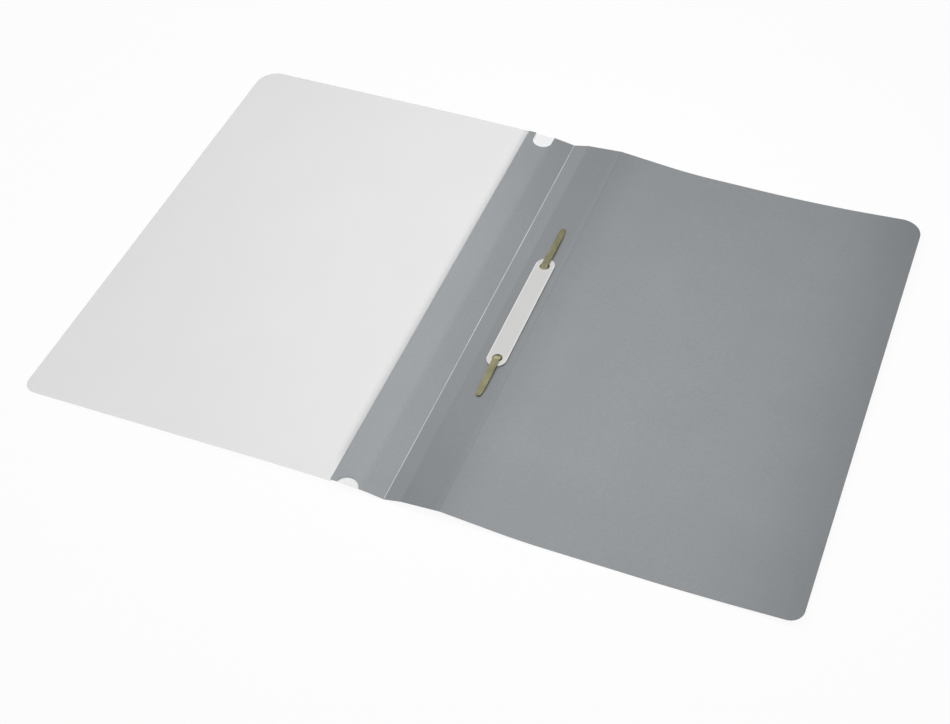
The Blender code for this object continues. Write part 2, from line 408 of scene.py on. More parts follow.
class Finish:
    """What a piece's surface is made to look like."""

    def make(self, name: str) -> bpy.types.Material:
        """Make the material.

        Args:
            name: The material's name.

        Returns:
            The material.
        """
        bench = SurfaceBench(name)
        self.dress(bench)
        return bench.material

    def dress(self, bench: SurfaceBench) -> None:
        """Wire up the material on its bench."""
        raise NotImplementedError


@dataclass(frozen=True)
class GreySheetFinish(Finish):
    """Grey polypropylene with a fine matt embossing, and light and shade painted in zones."""

    painted_light_zones: tuple[ToneZone | ToneSpot, ...] = ()
    colour: Colour = SHEET_GREY
    roughness: float = 0.42
    emboss: Grain = Grain(1.1 * MM, 1.5)
    emboss_depth: float = 0.06 * MM
    emboss_tone: float = 0.2
    emboss_matt: float = 0.12
    cloud: Grain = Grain(38 * MM)
    cloud_tone: float = 0.07
    cloud_matt: float = 0.06

    def dress(self, bench: SurfaceBench) -> None:
        """Wire up the embossing, its random tones and the light and shade painted in the zones.

        Args:
            bench: The material's bench.
        """
        place = bench.xyz(bench.place)
        emboss = bench.pattern(self.emboss)
        grain = emboss - PATTERN_MIDDLE
        cloud = bench.pattern(self.cloud) - PATTERN_MIDDLE
        tone = 1 + cloud * self.cloud_tone + grain * self.emboss_tone
        # Painted light and shade: the zones make the colour lighter or darker by place.
        for zone in self.painted_light_zones:
            tone = zone.over(place, tone)
        bench.set(
            {
                "Base Color": bench.tinted(self.colour, tone),
                "Roughness": self.roughness + grain * self.emboss_matt + cloud * self.cloud_matt,
                "IOR": SHEET_IOR,
            }
        )
        bench.bump(emboss, self.emboss_depth)


@dataclass(frozen=True)
class ScoreLineFinish(Finish):
    """Grey polypropylene that has whitened along the middle of a scored fold."""

    centre_x: float
    grey: Colour = SHEET_GREY
    white: Colour = (0.78, 0.79, 0.80)
    half_width: float = 0.22 * MM
    soft: float = 0.1 * MM
    roughness: float = 0.42
    streak: Grain = Grain(9 * MM, 3.0, 4)
    fleck: Grain = Grain(0.5 * MM, 1.0, 3)
    fleck_share: float = 0.4
    fleck_matt: float = 0.1
    fleck_depth: float = 0.01 * MM
    whitening: Point = (0.2, 0.55)

    def dress(self, bench: SurfaceBench) -> None:
        """Wire up the whitened line.

        Args:
            bench: The material's bench.
        """
        x, _, _ = bench.xyz(bench.place)
        streak = bench.pattern(self.streak)
        fleck = bench.pattern(self.fleck)
        scored = 1 - abs(x - self.centre_x).ease(self.half_width - self.soft, self.half_width)
        worn = streak * (1 - self.fleck_share) + fleck * self.fleck_share
        bench.set(
            {
                "Base Color": bench.mixed(worn.ease(*self.whitening) * scored, self.grey, self.white),
                "Roughness": self.roughness + fleck * self.fleck_matt,
                "IOR": SHEET_IOR,
            }
        )
        bench.bump(fleck, self.fleck_depth)


@dataclass(frozen=True)
class ClearSheetFinish(Finish):
    """Clear polypropylene with a faint grey haze, with painted shade further out and a painted shadow
    beside the flap's free edge.
    """

    flap_edge_x: float
    # A grey haze colour: partly the sheet's own milky haze, partly painted shade for the sheet's shadow on
    # the floor below.
    colour: Colour = (0.46, 0.461, 0.462)
    roughness: float = 0.32
    matt_spread: float = 0.1
    haze: float = 0.178
    outer_shade_haze: float = 0.05
    far_reach: float = 190 * MM
    shadow_reach: float = 6 * MM
    shadow_haze: float = 0.22
    shadow_darkening: float = 0.24
    shadow_foot: float = -150 * MM
    foot_fade: float = 25 * MM
    flap_fade: Point = (0.5 * MM, 1.5 * MM)
    emboss: Grain = Grain(0.9 * MM, 1.5)
    emboss_depth: float = 0.006 * MM
    cloud: Grain = Grain(45 * MM, 2.5)
    cloud_haze: float = 0.024
    cloud_tone: float = 0.03

    def dress(self, bench: SurfaceBench) -> None:
        """Wire up the haze, the painted shade further out and the painted shadow beside the flap's edge.

        Args:
            bench: The material's bench.
        """
        x, y, _ = bench.xyz(bench.place)
        emboss = bench.pattern(self.emboss)
        cloud = bench.pattern(self.cloud) - PATTERN_MIDDLE
        away = self.flap_edge_x - x
        # Painted shade: more haze, and so a darker sheet, further out from the flap's edge, for less light
        # there.
        outwards = (away / self.far_reach).at_least(0).at_most(1)
        # Painted shadow: a greyer, darker strip beside the flap's free edge, for the flap's shadow on the
        # floor under the sheet; it fades under the flap and towards the foot.
        near = (1 - away / self.shadow_reach).at_least(0).at_most(1)
        painted_shadow = near * near * (1 - x.ease(*(self.flap_edge_x + fade for fade in self.flap_fade)))
        painted_shadow = painted_shadow * y.ease(self.shadow_foot, self.shadow_foot + self.foot_fade)
        haze = self.haze + outwards * self.outer_shade_haze + cloud * self.cloud_haze
        tone = (1 + cloud * self.cloud_tone) * (1 - painted_shadow * self.shadow_darkening)
        grain = emboss - PATTERN_MIDDLE
        bench.set(
            {
                "Base Color": bench.tinted(self.colour, tone),
                "Roughness": self.roughness + grain * self.matt_spread + cloud * self.matt_spread,
                "Alpha": haze + painted_shadow * self.shadow_haze,
                "IOR": SHEET_IOR,
            }
        )
        bench.bump(emboss, self.emboss_depth)


@dataclass(frozen=True)
class CardFinish(Finish):
    """Plain white card with a faint fibre."""

    colour: Colour = (0.985, 0.988, 0.99)
    roughness: float = 0.85
    ior: float = 1.45
    fibre: Grain = Grain(0.7 * MM, 2.0, 2.2)
    fibre_depth: float = 0.003 * MM
    fibre_tone: float = 0.05
    fibre_matt: float = 0.1
    cloud: Grain = Grain(12 * MM)
    cloud_tone: float = 0.02

    def dress(self, bench: SurfaceBench) -> None:
        """Wire up the fibre.

        Args:
            bench: The material's bench.
        """
        fibre = bench.pattern(self.fibre)
        grain = fibre - PATTERN_MIDDLE
        cloud = bench.pattern(self.cloud) - PATTERN_MIDDLE
        tone = 1 + grain * self.fibre_tone + cloud * self.cloud_tone
        bench.set(
            {
                "Base Color": bench.tinted(self.colour, tone),
                "Roughness": self.roughness + grain * self.fibre_matt,
                "IOR": self.ior,
            }
        )
        bench.bump(fibre, self.fibre_depth)


@dataclass(frozen=True)
class BrassedSteelFinish(Finish):
    """Dull brass-plated steel strip, rolled along its length, with light and shade painted in zones."""

    painted_light_zones: tuple[ToneZone, ...] = ()
    colour: Colour = (0.289, 0.279, 0.169)
    dull: Colour = (0.223, 0.21, 0.122)
    roughness: float = 0.42
    rolled: Grain = Grain(0.35 * MM, 2.0, 30)
    rolled_depth: float = 0.004 * MM
    rolled_share: float = 0.3
    rolled_tone: float = 0.06
    rolled_matt: float = 0.16
    tarnish: Grain = Grain(4 * MM, 3.0, 2)
    dulling: Point = (0.36, 0.66)
    dull_matt: float = 0.1

    def dress(self, bench: SurfaceBench) -> None:
        """Wire up the rolled metal, its tarnish and the light and shade painted in the zones.

        Args:
            bench: The material's bench.
        """
        place = bench.xyz(bench.place)
        rolled = bench.pattern(self.rolled)
        tarnish = bench.pattern(self.tarnish)
        dulled = (tarnish * (1 - self.rolled_share) + rolled * self.rolled_share).ease(*self.dulling)
        grain = rolled - PATTERN_MIDDLE
        tone = 1 + grain * self.rolled_tone
        # Painted light and shade: the zones make the colour lighter or darker by place.
        for zone in self.painted_light_zones:
            tone = zone.over(place, tone)
        bench.set(
            {
                "Base Color": bench.tinted(bench.mixed(dulled, self.colour, self.dull), tone),
                "Roughness": self.roughness + grain * self.rolled_matt + dulled * self.dull_matt,
                "Metallic": 1.0,
            }
        )
        bench.bump(rolled, self.rolled_depth)


@dataclass(frozen=True)
class BarPlasticFinish(Finish):
    """Moulded white plastic, with a painted highlight along its edges and ends and painted shade on its
    cut sides.
    """

    top: Vector
    normal: Vector
    half_width: float
    hole_y: float
    face: Colour = (0.622, 0.618, 0.606)
    # Painted highlight: the colour along the long edges and around the ends.
    rim_highlight: Colour = (0.76, 0.763, 0.76)
    # Painted shade: the colour of the cut sides, for the shade on them and under the bar.
    side: Colour = (0.22, 0.22, 0.215)
    roughness: float = 0.42
    ior: float = 1.5
    rim_highlight_fade: Point = (-0.9 * MM, -0.5 * MM)
    end_highlight_fade: Point = (-6 * MM, 4 * MM)
    end_highlight_share: float = 0.3
    side_shade_fade: Point = (0.1 * MM, 0.26 * MM)
    orange_peel: Grain = Grain(1.1 * MM)
    peel_depth: float = 0.006 * MM
    peel_matt: float = 0.1
    flow: Grain = Grain(14 * MM, 2.0, 3)
    flow_tone: float = 0.04

    def dress(self, bench: SurfaceBench) -> None:
        """Wire up the painted edge highlight, the painted shade on the sides and the moulded skin.

        Args:
            bench: The material's bench.
        """
        x, y, z = bench.xyz(bench.place)
        peel = bench.pattern(self.orange_peel)
        flow = bench.pattern(self.flow) - PATTERN_MIDDLE
        # Painted highlight: paler along both long edges and around the ends, for light caught by the
        # rounded edges.
        beside = abs(x - self.top.x).ease(*(self.half_width + fade for fade in self.rim_highlight_fade))
        beyond = abs(y - self.top.y).ease(*(self.hole_y + fade for fade in self.end_highlight_fade))
        # Painted shade: darker on the cut sides below the top, for the shade on the walls and under the
        # bar.
        depth = self.normal.dot(self.top) - x * self.normal.x - z * self.normal.z
        colour = bench.mixed(beside.at_least(beyond * self.end_highlight_share), self.face, self.rim_highlight)
        colour = bench.mixed(depth.ease(*self.side_shade_fade), colour, self.side)
        bench.set(
            {
                "Base Color": bench.tinted(colour, 1 + flow * self.flow_tone),
                "Roughness": self.roughness + (peel - PATTERN_MIDDLE) * self.peel_matt,
                "IOR": self.ior,
            }
        )
        bench.bump(peel, self.peel_depth)


@dataclass(frozen=True)
class FloorFinish(Finish):
    """A white sweep that shows as white to the camera and keeps soft shadows."""

    colour: Colour = (0.97, 0.97, 0.97)
    roughness: float = 0.95
    glow: float = 0.94

    def dress(self, bench: SurfaceBench) -> None:
        """Wire up the matt floor and its glow.

        Args:
            bench: The material's bench.
        """
        sockets = {"Base Color": (*self.colour, 1), "Roughness": self.roughness, "Specular IOR Level": 0.0}
        bench.set(sockets)
        camera = bench.add("ShaderNodeLightPath", None, None, "Is Camera Ray")
        seen = camera.at_least(camera.sibling("Is Glossy Ray"))
        seen = seen.at_least(camera.sibling("Is Transmission Ray"))
        white = bench.add("ShaderNodeEmission", None, {"Color": (1, 1, 1, 1), "Strength": 1.0})
        mixed = bench.add("ShaderNodeMixShader", None, {0: seen * self.glow, 1: bench.shader, 2: white})
        bench.add("ShaderNodeOutputMaterial", {"is_active_output": True}, {"Surface": mixed})


# Flat drawings


def arc_points(centre: Point, radius: float, start: float, end: float, steps: int) -> Loop:
    """Points on an arc, both ends included.

    Args:
        centre: The arc's centre.
        radius: Its radius.
        start: The angle that it starts at, in radians.
        end: The angle that it ends at.
        steps: How many chords it has.

    Returns:
        The points.
    """
    angles = [start + (end - start) * step / steps for step in range(steps + 1)]
    return [(centre[0] + radius * math.cos(turn), centre[1] + radius * math.sin(turn)) for turn in angles]


def rectangle(low_x: float, high_x: float, low_y: float, high_y: float) -> Loop:
    """The four corners of a rectangle, anticlockwise."""
    return [(low_x, low_y), (high_x, low_y), (high_x, high_y), (low_x, high_y)]


def spread(start: float, end: float, pitch: float) -> list[float]:
    """Evenly spaced values from start to end, no further apart than a pitch."""
    steps = max(1, math.ceil(abs(end - start) / pitch))
    return [start + (end - start) * step / steps for step in range(steps + 1)]


@dataclass
class Drawing:
    """A flat cut: its edge first and then its holes, as closed loops of points."""

    loops: list[Loop]
    edge_clearance: float = 0.4
    merge_distance: float = 1e-8

    def refined(self, pitch: float) -> list[Loop]:
        """Divide the long edges.

        Args:
            pitch: The longest edge that is left.

        Returns:
            The finer loops.
        """
        finer = []
        for loop in self.loops:
            points: Loop = []
            for (x0, y0), (x1, y1) in zip(loop, loop[1:] + loop[:1]):
                steps = max(1, math.ceil(math.hypot(x1 - x0, y1 - y0) / pitch))
                points += [(x0 + (x1 - x0) * k / steps, y0 + (y1 - y0) * k / steps) for k in range(steps)]
            finer.append(points)
        return finer

    @staticmethod
    def inside(loops: list[Loop], points: np.ndarray, clearance: float) -> np.ndarray:
        """Tell which points lie in the cut, clear of its edges.

        Args:
            loops: The cut's edge and holes.
            points: The points to test, one row each.
            clearance: How far from every edge a point has to be.

        Returns:
            True for each point that does.
        """
        starts = np.array([point for loop in loops for point in loop])
        ends = np.array([point for loop in loops for point in loop[1:] + loop[:1]])
        run = ends - starts
        gap = points[:, None, :] - starts[None]
        share = np.clip((gap * run).sum(2) / (run * run).sum(1), 0, 1)
        near = np.hypot(*np.moveaxis(gap - share[..., None] * run, 2, 0)).min(1)
        above = starts[None, :, 1] > points[:, None, 1]
        crossed = above != (ends[None, :, 1] > points[:, None, 1])
        rise = np.where(run[:, 1] == 0, 1, run[:, 1])
        crossing_x = starts[:, 0] + run[:, 0] * gap[..., 1] / rise
        crossings = (crossed & (points[:, None, 0] < crossing_x)).sum(1)
        return (crossings % 2 == 1) & (near > clearance)

    def triangles(
        self, xs: Sequence[float], ys: Sequence[float], pitch: float
    ) -> tuple[list[Point], list[list[int]]]:
        """Fill the cut with triangles.

        Args:
            xs: Where the inner grid's lines are across the cut.
            ys: Where they are along it.
            pitch: The longest edge along the outline.

        Returns:
            The points, with the loops' own first, and the triangles as rows of their numbers.
        """
        loops = self.refined(pitch)
        coords: Loop = []
        edges: list[tuple[int, int]] = []
        for loop in loops:
            first = len(coords)
            coords += loop
            edges += [(first + k, first + (k + 1) % len(loop)) for k in range(len(loop))]
        if len(xs) and len(ys):
            grid = np.array([(x, y) for x in xs for y in ys])
            clear = self.inside(loops, grid, self.edge_clearance * pitch)
            coords += [tuple(point) for point in grid[clear]]
        corners = [Vector(point) for point in coords]
        filled = delaunay_2d_cdt(corners, edges, [], 1, self.merge_distance)
        numbers = [sources[0] for sources in filled[3]]
        faces = [[numbers[k] for k in face] for face in filled[2]]
        centres = np.array(coords)[np.array(faces)].mean(1)
        kept = self.inside(loops, centres, 0.0)
        return coords, [face for face, keep in zip(faces, kept) if keep]

    def solid(
        self, thickness: float, xs: Sequence[float], ys: Sequence[float], pitch: float
    ) -> bpy.types.Mesh:
        """Cut the drawing out of a flat sheet.

        Args:
            thickness: The sheet's thickness, half of it on either side of the drawing.
            xs: Where the inner grid's lines are across the cut.
            ys: Where they are along it.
            pitch: The longest edge along the outline.

        Returns:
            A closed mesh.
        """
        points, triangles = self.triangles(xs, ys, pitch)
        count = len(points)
        verts = [(x, y, side * thickness / 2) for side in (1, -1) for x, y in points]
        faces = triangles + [[count + k for k in reversed(face)] for face in triangles]
        faces += [[count + a, count + b, b, a] for a, b in outline_edges(triangles)]
        mesh = bpy.data.meshes.new("flat_cut")
        mesh.from_pydata(verts, [], faces)
        return mesh


def outline_edges(triangles: Iterable[Sequence[int]]) -> list[tuple[int, int]]:
    """The edges that only one triangle has, in that triangle's direction."""
    directed = [(face[k], face[(k + 1) % len(face)]) for face in triangles for k in range(len(face))]
    uses = Counter(frozenset(edge) for edge in directed)
    return [edge for edge in directed if uses[frozenset(edge)] == 1]


# Mesh jobs


def evaluated_mesh(obj: bpy.types.Object) -> bpy.types.Mesh:
    """Turn an object with its modifiers into a plain mesh, and remove the object.

    Args:
        obj: The object, linked to the scene.

    Returns:
        The new mesh.
    """
    graph = bpy.context.evaluated_depsgraph_get()
    mesh = bpy.data.meshes.new_from_object(obj.evaluated_get(graph), depsgraph=graph)
    obj.modifiers.clear()
    source = obj.data
    bpy.data.objects.remove(obj)
    bpy.data.meshes.remove(source)
    return mesh


def scene_object(name: str, mesh: bpy.types.Mesh) -> bpy.types.Object:
    """Put a mesh into the scene as an object."""
    obj = bpy.data.objects.new(name, mesh)
    bpy.context.scene.collection.objects.link(obj)
    return obj


def rounded(mesh: bpy.types.Mesh, width: float, segments: int = 1, limit: float = 50.0) -> bpy.types.Mesh:
    """Break the sharp edges of a mesh.

    Args:
        mesh: A closed mesh, which is used up.
        width: The width of the rounding.
        segments: How many facets it has.
        limit: The smallest angle between faces that is rounded, in degrees.

    Returns:
        The rounded mesh, shaded smooth apart from its sharp edges.
    """
    obj = scene_object("rounding", mesh)
    bevel = obj.modifiers.new("rounding", "BEVEL")
    bevel.width = width
    bevel.segments = segments
    bevel.limit_method = "ANGLE"
    bevel.angle_limit = math.radians(limit)
    bevel.harden_normals = segments > 1
    mesh.shade_smooth()
    result = evaluated_mesh(obj)
    if segments == 1:
        result.shade_smooth()
        result.set_sharp_from_angle(angle=SMOOTH_ANGLE)
    return result


def finish_piece(
    name: str, mesh: bpy.types.Mesh, slot: Slot, nodes: Sequence[str] = ()
) -> bpy.types.Object:
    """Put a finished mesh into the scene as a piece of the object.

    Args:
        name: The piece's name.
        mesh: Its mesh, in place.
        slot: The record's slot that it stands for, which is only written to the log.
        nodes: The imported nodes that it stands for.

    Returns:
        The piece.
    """
    mesh.name = name
    piece = scene_object(name, mesh)
    if nodes:
        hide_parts(*nodes)
    log.info("%s: %d faces, finish %s", name, len(mesh.polygons), slot.value)
    return piece


# Geometry node trees


class Kind(Enum):
    """The kinds of input that a tree has."""

    NUMBER = "NodeSocketFloat"
    COUNT = "NodeSocketInt"
    VECTOR = "NodeSocketVector"
    MATERIAL = "NodeSocketMaterial"
    GEOMETRY = "NodeSocketGeometry"


class GeometryRecipe:
    """A geometry node tree with named inputs, built once and used for many pieces."""

    name = "recipe"
    inputs: Mapping[str, Kind] = {}

    def __init__(self) -> None:
        """Build the tree."""
        self.tree = bpy.data.node_groups.new(self.name, "GeometryNodeTree")
        interface = self.tree.interface
        interface.new_socket("Geometry", in_out="INPUT", socket_type=Kind.GEOMETRY.value)
        self.identifiers = {}
        for title, kind in {**self.inputs, "Finish": Kind.MATERIAL}.items():
            socket = interface.new_socket(title, in_out="INPUT", socket_type=kind.value)
            self.identifiers[title] = socket.identifier
        interface.new_socket("Geometry", in_out="OUTPUT", socket_type=Kind.GEOMETRY.value)
        bench = NodeBench(self.tree)
        source = bench.add("NodeGroupInput", None, None, "Geometry")
        values = {title: source.sibling(title) for title in self.identifiers}
        shaped = self.shape(bench, source, values)
        realized = bench.add("GeometryNodeRealizeInstances", None, {0: shaped})
        sockets = {"Geometry": realized, "Material": values["Finish"]}
        dressed = bench.add("GeometryNodeSetMaterial", None, sockets)
        bench.add("NodeGroupOutput", None, {0: dressed})

    def shape(self, bench: NodeBench, source: Wire, values: Mapping[str, Wire]) -> Wire:
        """Wire up the tree's own part.

        Args:
            bench: The tree's bench.
            source: The geometry that comes in.
            values: The named inputs.

        Returns:
            The shaped geometry.
        """
        raise NotImplementedError

    def mesh(self, source: bpy.types.Mesh, values: Mapping[str, Any]) -> bpy.types.Mesh:
        """Run the tree on a mesh.

        Args:
            source: The mesh that goes in, which is used up.
            values: The named inputs, with the material as "Finish".

        Returns:
            The plain mesh that comes out.
        """
        obj = scene_object(self.name, source)
        modifier = obj.modifiers.new(self.name, "NODES")
        modifier.node_group = self.tree
        for title, value in values.items():
            modifier[self.identifiers[title]] = value
        return evaluated_mesh(obj)


class BentSheetTree(GeometryRecipe):
    """Bends a flat sheet out from x = 0, along a line of up to four stretches."""

    STRETCHES = 4
    LEAST_LENGTH = 1e-6
    LEAST_SIZE = 1e-3
    RIPPLE_FADE = 45 * MM
    name = "bent_sheet"
    inputs = dict.fromkeys(
        (
            "Layer",
            "Heading",
            *(f"Length {number}" for number in range(1, STRETCHES + 1)),
            *(f"Turn {number}" for number in range(1, STRETCHES + 1)),
            *("Ripple Height", "Ripple Size", "Ripple Start", "Ripple Seed"),
            *("Head Lift", "Foot Lift", "Lift Start", "Lift End"),
            "Half Height",
        ),
        Kind.NUMBER,
    )

    def shape(self, bench: NodeBench, source: Wire, values: Mapping[str, Wire]) -> Wire:
        """Wire up the bend.

        Args:
            bench: The tree's bench.
            source: The flat sheet.
            values: The named inputs.

        Returns:
            The bent sheet.
        """
        x, y, z = bench.xyz(bench.add("GeometryNodeInputPosition"))
        side = x.maths("SIGN", x)
        distance = abs(x)
        heading = values["Heading"]
        reach: Number = 0.0
        rise: Number = 0.0
        passed: Number = 0.0
        for number in range(1, self.STRETCHES + 1):
            length = values[f"Length {number}"]
            step = (distance - passed).at_least(0).at_most(length)
            half_turn = values[f"Turn {number}"] * step / length.at_least(self.LEAST_LENGTH) * 0.5
            # An arc's chord, by the first terms of the series for a sine over its angle.
            square = half_turn * half_turn
            chord = step * (1 - square / 6 + square * square / 120)
            middle = heading + half_turn
            reach = reach + chord * middle.maths("COSINE", middle)
            rise = rise + chord * middle.maths("SINE", middle)
            heading = heading + half_turn * 2
            passed = passed + length
        rest = (distance - passed).at_least(0)
        cosine = heading.maths("COSINE", heading)
        sine = heading.maths("SINE", heading)
        height = z + values["Layer"]
        reach = reach + rest * cosine - height * sine
        rise = rise + rest * sine + height * cosine
        rise = rise + self.ripple(bench, x, y, values) + self.twist(x, y, values)
        place = bench.vector(side * reach, y, rise)
        return bench.add("GeometryNodeSetPosition", None, {"Geometry": source, "Position": place})

    def ripple(self, bench: NodeBench, x: Wire, y: Wire, values: Mapping[str, Wire]) -> Wire:
        """The sheet's slight waviness, which starts away from its crease.

        Args:
            bench: The tree's bench.
            x: The distance across the flat sheet.
            y: The distance along it.
            values: The named inputs.

        Returns:
            How far the sheet is raised.
        """
        sockets = {
            "Vector": bench.vector(x, y, 0.0),
            "W": values["Ripple Seed"],
            "Scale": 1 / values["Ripple Size"].at_least(self.LEAST_SIZE),
            "Detail": 1.0,
        }
        wave = bench.add("ShaderNodeTexNoise", {"noise_dimensions": "4D"}, sockets, "Fac")
        start = values["Ripple Start"]
        return wave * values["Ripple Height"] * abs(x).ease(start, start + self.RIPPLE_FADE)

    def twist(self, x: Wire, y: Wire, values: Mapping[str, Wire]) -> Wire:
        """How far the outer side is twisted up, from its foot to its head.

        Args:
            x: The distance across the flat sheet.
            y: The distance along it.
            values: The named inputs.

        Returns:
            How far the sheet is raised.
        """
        start = values["Lift Start"]
        run = (values["Lift End"] - start).at_least(self.LEAST_SIZE)
        outwards = ((abs(x) - start) / run).at_least(0)
        along = y / values["Half Height"].at_least(self.LEAST_SIZE) * 0.5 + 0.5
        foot = values["Foot Lift"]
        return (foot + (values["Head Lift"] - foot) * along) * outwards * outwards


class CreaseTree(GeometryRecipe):
    """A strip along a crease, rounded from one panel's edge to the next one's."""

    name = "crease_strip"
    inputs = {
        **dict.fromkeys(("Start", "Fold", "End"), Kind.VECTOR),
        "Half Length": Kind.NUMBER,
        "Steps": Kind.COUNT,
    }

    def shape(self, bench: NodeBench, source: Wire, values: Mapping[str, Wire]) -> Wire:
        """Wire up the strip.

        Args:
            bench: The tree's bench.
            source: The geometry that comes in, which isn't used.
            values: The named inputs.

        Returns:
            The strip's middle surface.
        """
        sockets = {
            "Resolution": values["Steps"],
            "Start": values["Start"],
            "Middle": values["Fold"],
            "End": values["End"],
        }
        profile = bench.add("GeometryNodeCurveQuadraticBezier", None, sockets)
        line = bench.add("GeometryNodeCurveToMesh", None, {"Curve": profile})
        half_length = values["Half Length"]
        sockets = {"Mesh": line, "Offset": bench.vector(0.0, half_length * 2, 0.0), "Offset Scale": 1.0}
        strip = bench.add("GeometryNodeExtrudeMesh", {"mode": "EDGES"}, sockets)
        shift = bench.vector(0.0, half_length * -1, 0.0)
        return bench.add("GeometryNodeSetPosition", None, {"Geometry": strip, "Offset": shift})


class WeldTree(GeometryRecipe):
    """A row of small weld beads from one end of a seam to the other."""

    name = "weld_seam"
    inputs = {
        **dict.fromkeys(("Start", "End", "Bead Size"), Kind.VECTOR),
        **dict.fromkeys(("Beads", "Seed"), Kind.COUNT),
        "Size Spread": Kind.NUMBER,
    }

    def shape(self, bench: NodeBench, source: Wire, values: Mapping[str, Wire]) -> Wire:
        """Wire up the row.

        Args:
            bench: The tree's bench.
            source: The geometry that comes in, which isn't used.
            values: The named inputs.

        Returns:
            The beads, as instances.
        """
        sockets = {"Count": values["Beads"], "Start Location": values["Start"], "Offset": values["End"]}
        row = bench.add("GeometryNodeMeshLine", {"mode": "END_POINTS"}, sockets)
        bead = bench.add("GeometryNodeMeshIcoSphere", None, {"Radius": 0.5, "Subdivisions": 2})
        smooth = bench.add("GeometryNodeSetShadeSmooth", None, {"Geometry": bead})
        sockets = {2: 1 - values["Size Spread"], 3: 1.0, "Seed": values["Seed"]}
        share = bench.add("FunctionNodeRandomValue", {"data_type": "FLOAT"}, sockets, 1)
        sockets = {"Points": row, "Instance": smooth, "Scale": bench.tinted(values["Bead Size"], share)}
        return bench.add("GeometryNodeInstanceOnPoints", None, sockets)


@dataclass
class Workshop:
    """The geometry node trees that the pieces share."""

    bend: BentSheetTree = field(default_factory=BentSheetTree)
    crease: CreaseTree = field(default_factory=CreaseTree)
    weld: WeldTree = field(default_factory=WeldTree)


# How the file lies


@dataclass(frozen=True)
class Stretch:
    """One stretch of a bent line: its length and the angle that it turns through."""

    length: float
    turn: float = 0.0


@dataclass(frozen=True)
class BendLine:
    """The line that a sheet lies in: its first heading, then its stretches, then straight on."""

    heading: float = 0.0
    stretches: tuple[Stretch, ...] = ()

    def follow(self, distance: float) -> Place:
        """Walk along the line.

        Args:
            distance: How far to walk.

        Returns:
            The reach, the rise and the heading there.
        """
        reach = 0.0
        rise = 0.0
        heading = self.heading
        for stretch in (*self.stretches, Stretch(math.inf)):
            step = min(distance, stretch.length)
            half_turn = stretch.turn * step / stretch.length / 2 if stretch.turn else 0.0
            chord = step * (math.sin(half_turn) / half_turn if half_turn else 1.0)
            reach += chord * math.cos(heading + half_turn)
            rise += chord * math.sin(heading + half_turn)
            heading += 2 * half_turn
            distance -= step
            if distance <= 0:
                break
        return reach, rise, heading

    def place(self, origin: Vector, side: int, distance: float, layer: float = 0.0) -> Vector:
        """A point on a sheet that is bent along the line.

        Args:
            origin: The crease that the line starts from.
            side: 1 where the line runs along +X, and -1 along -X.
            distance: How far along the line the point is.
            layer: How far it is off the line.

        Returns:
            The point, at the middle of the file's height.
        """
        reach, rise, heading = self.follow(distance)
        across = side * (reach - layer * math.sin(heading))
        return origin + Vector((across, 0, rise + layer * math.cos(heading)))

    def stations(self, pitch: float, arc_pitch: float) -> list[float]:
        """Distances at which a sheet is divided before it is bent.

        Args:
            pitch: How far apart they are on straight stretches.
            arc_pitch: How far apart they are on bends.

        Returns:
            The distances.
        """
        distances = [0.0]
        for stretch in self.stretches:
            step = arc_pitch if stretch.turn else pitch
            distances += spread(distances[-1], distances[-1] + stretch.length, step)[1:]
        return distances

    def values(self) -> dict[str, float]:
        """The bending tree's inputs for this line."""
        values = {"Heading": self.heading}
        spare = [Stretch(0.0)] * (BentSheetTree.STRETCHES - len(self.stretches))
        for number, stretch in enumerate((*self.stretches, *spare), 1):
            values[f"Length {number}"] = stretch.length
            values[f"Turn {number}"] = stretch.turn
        return values


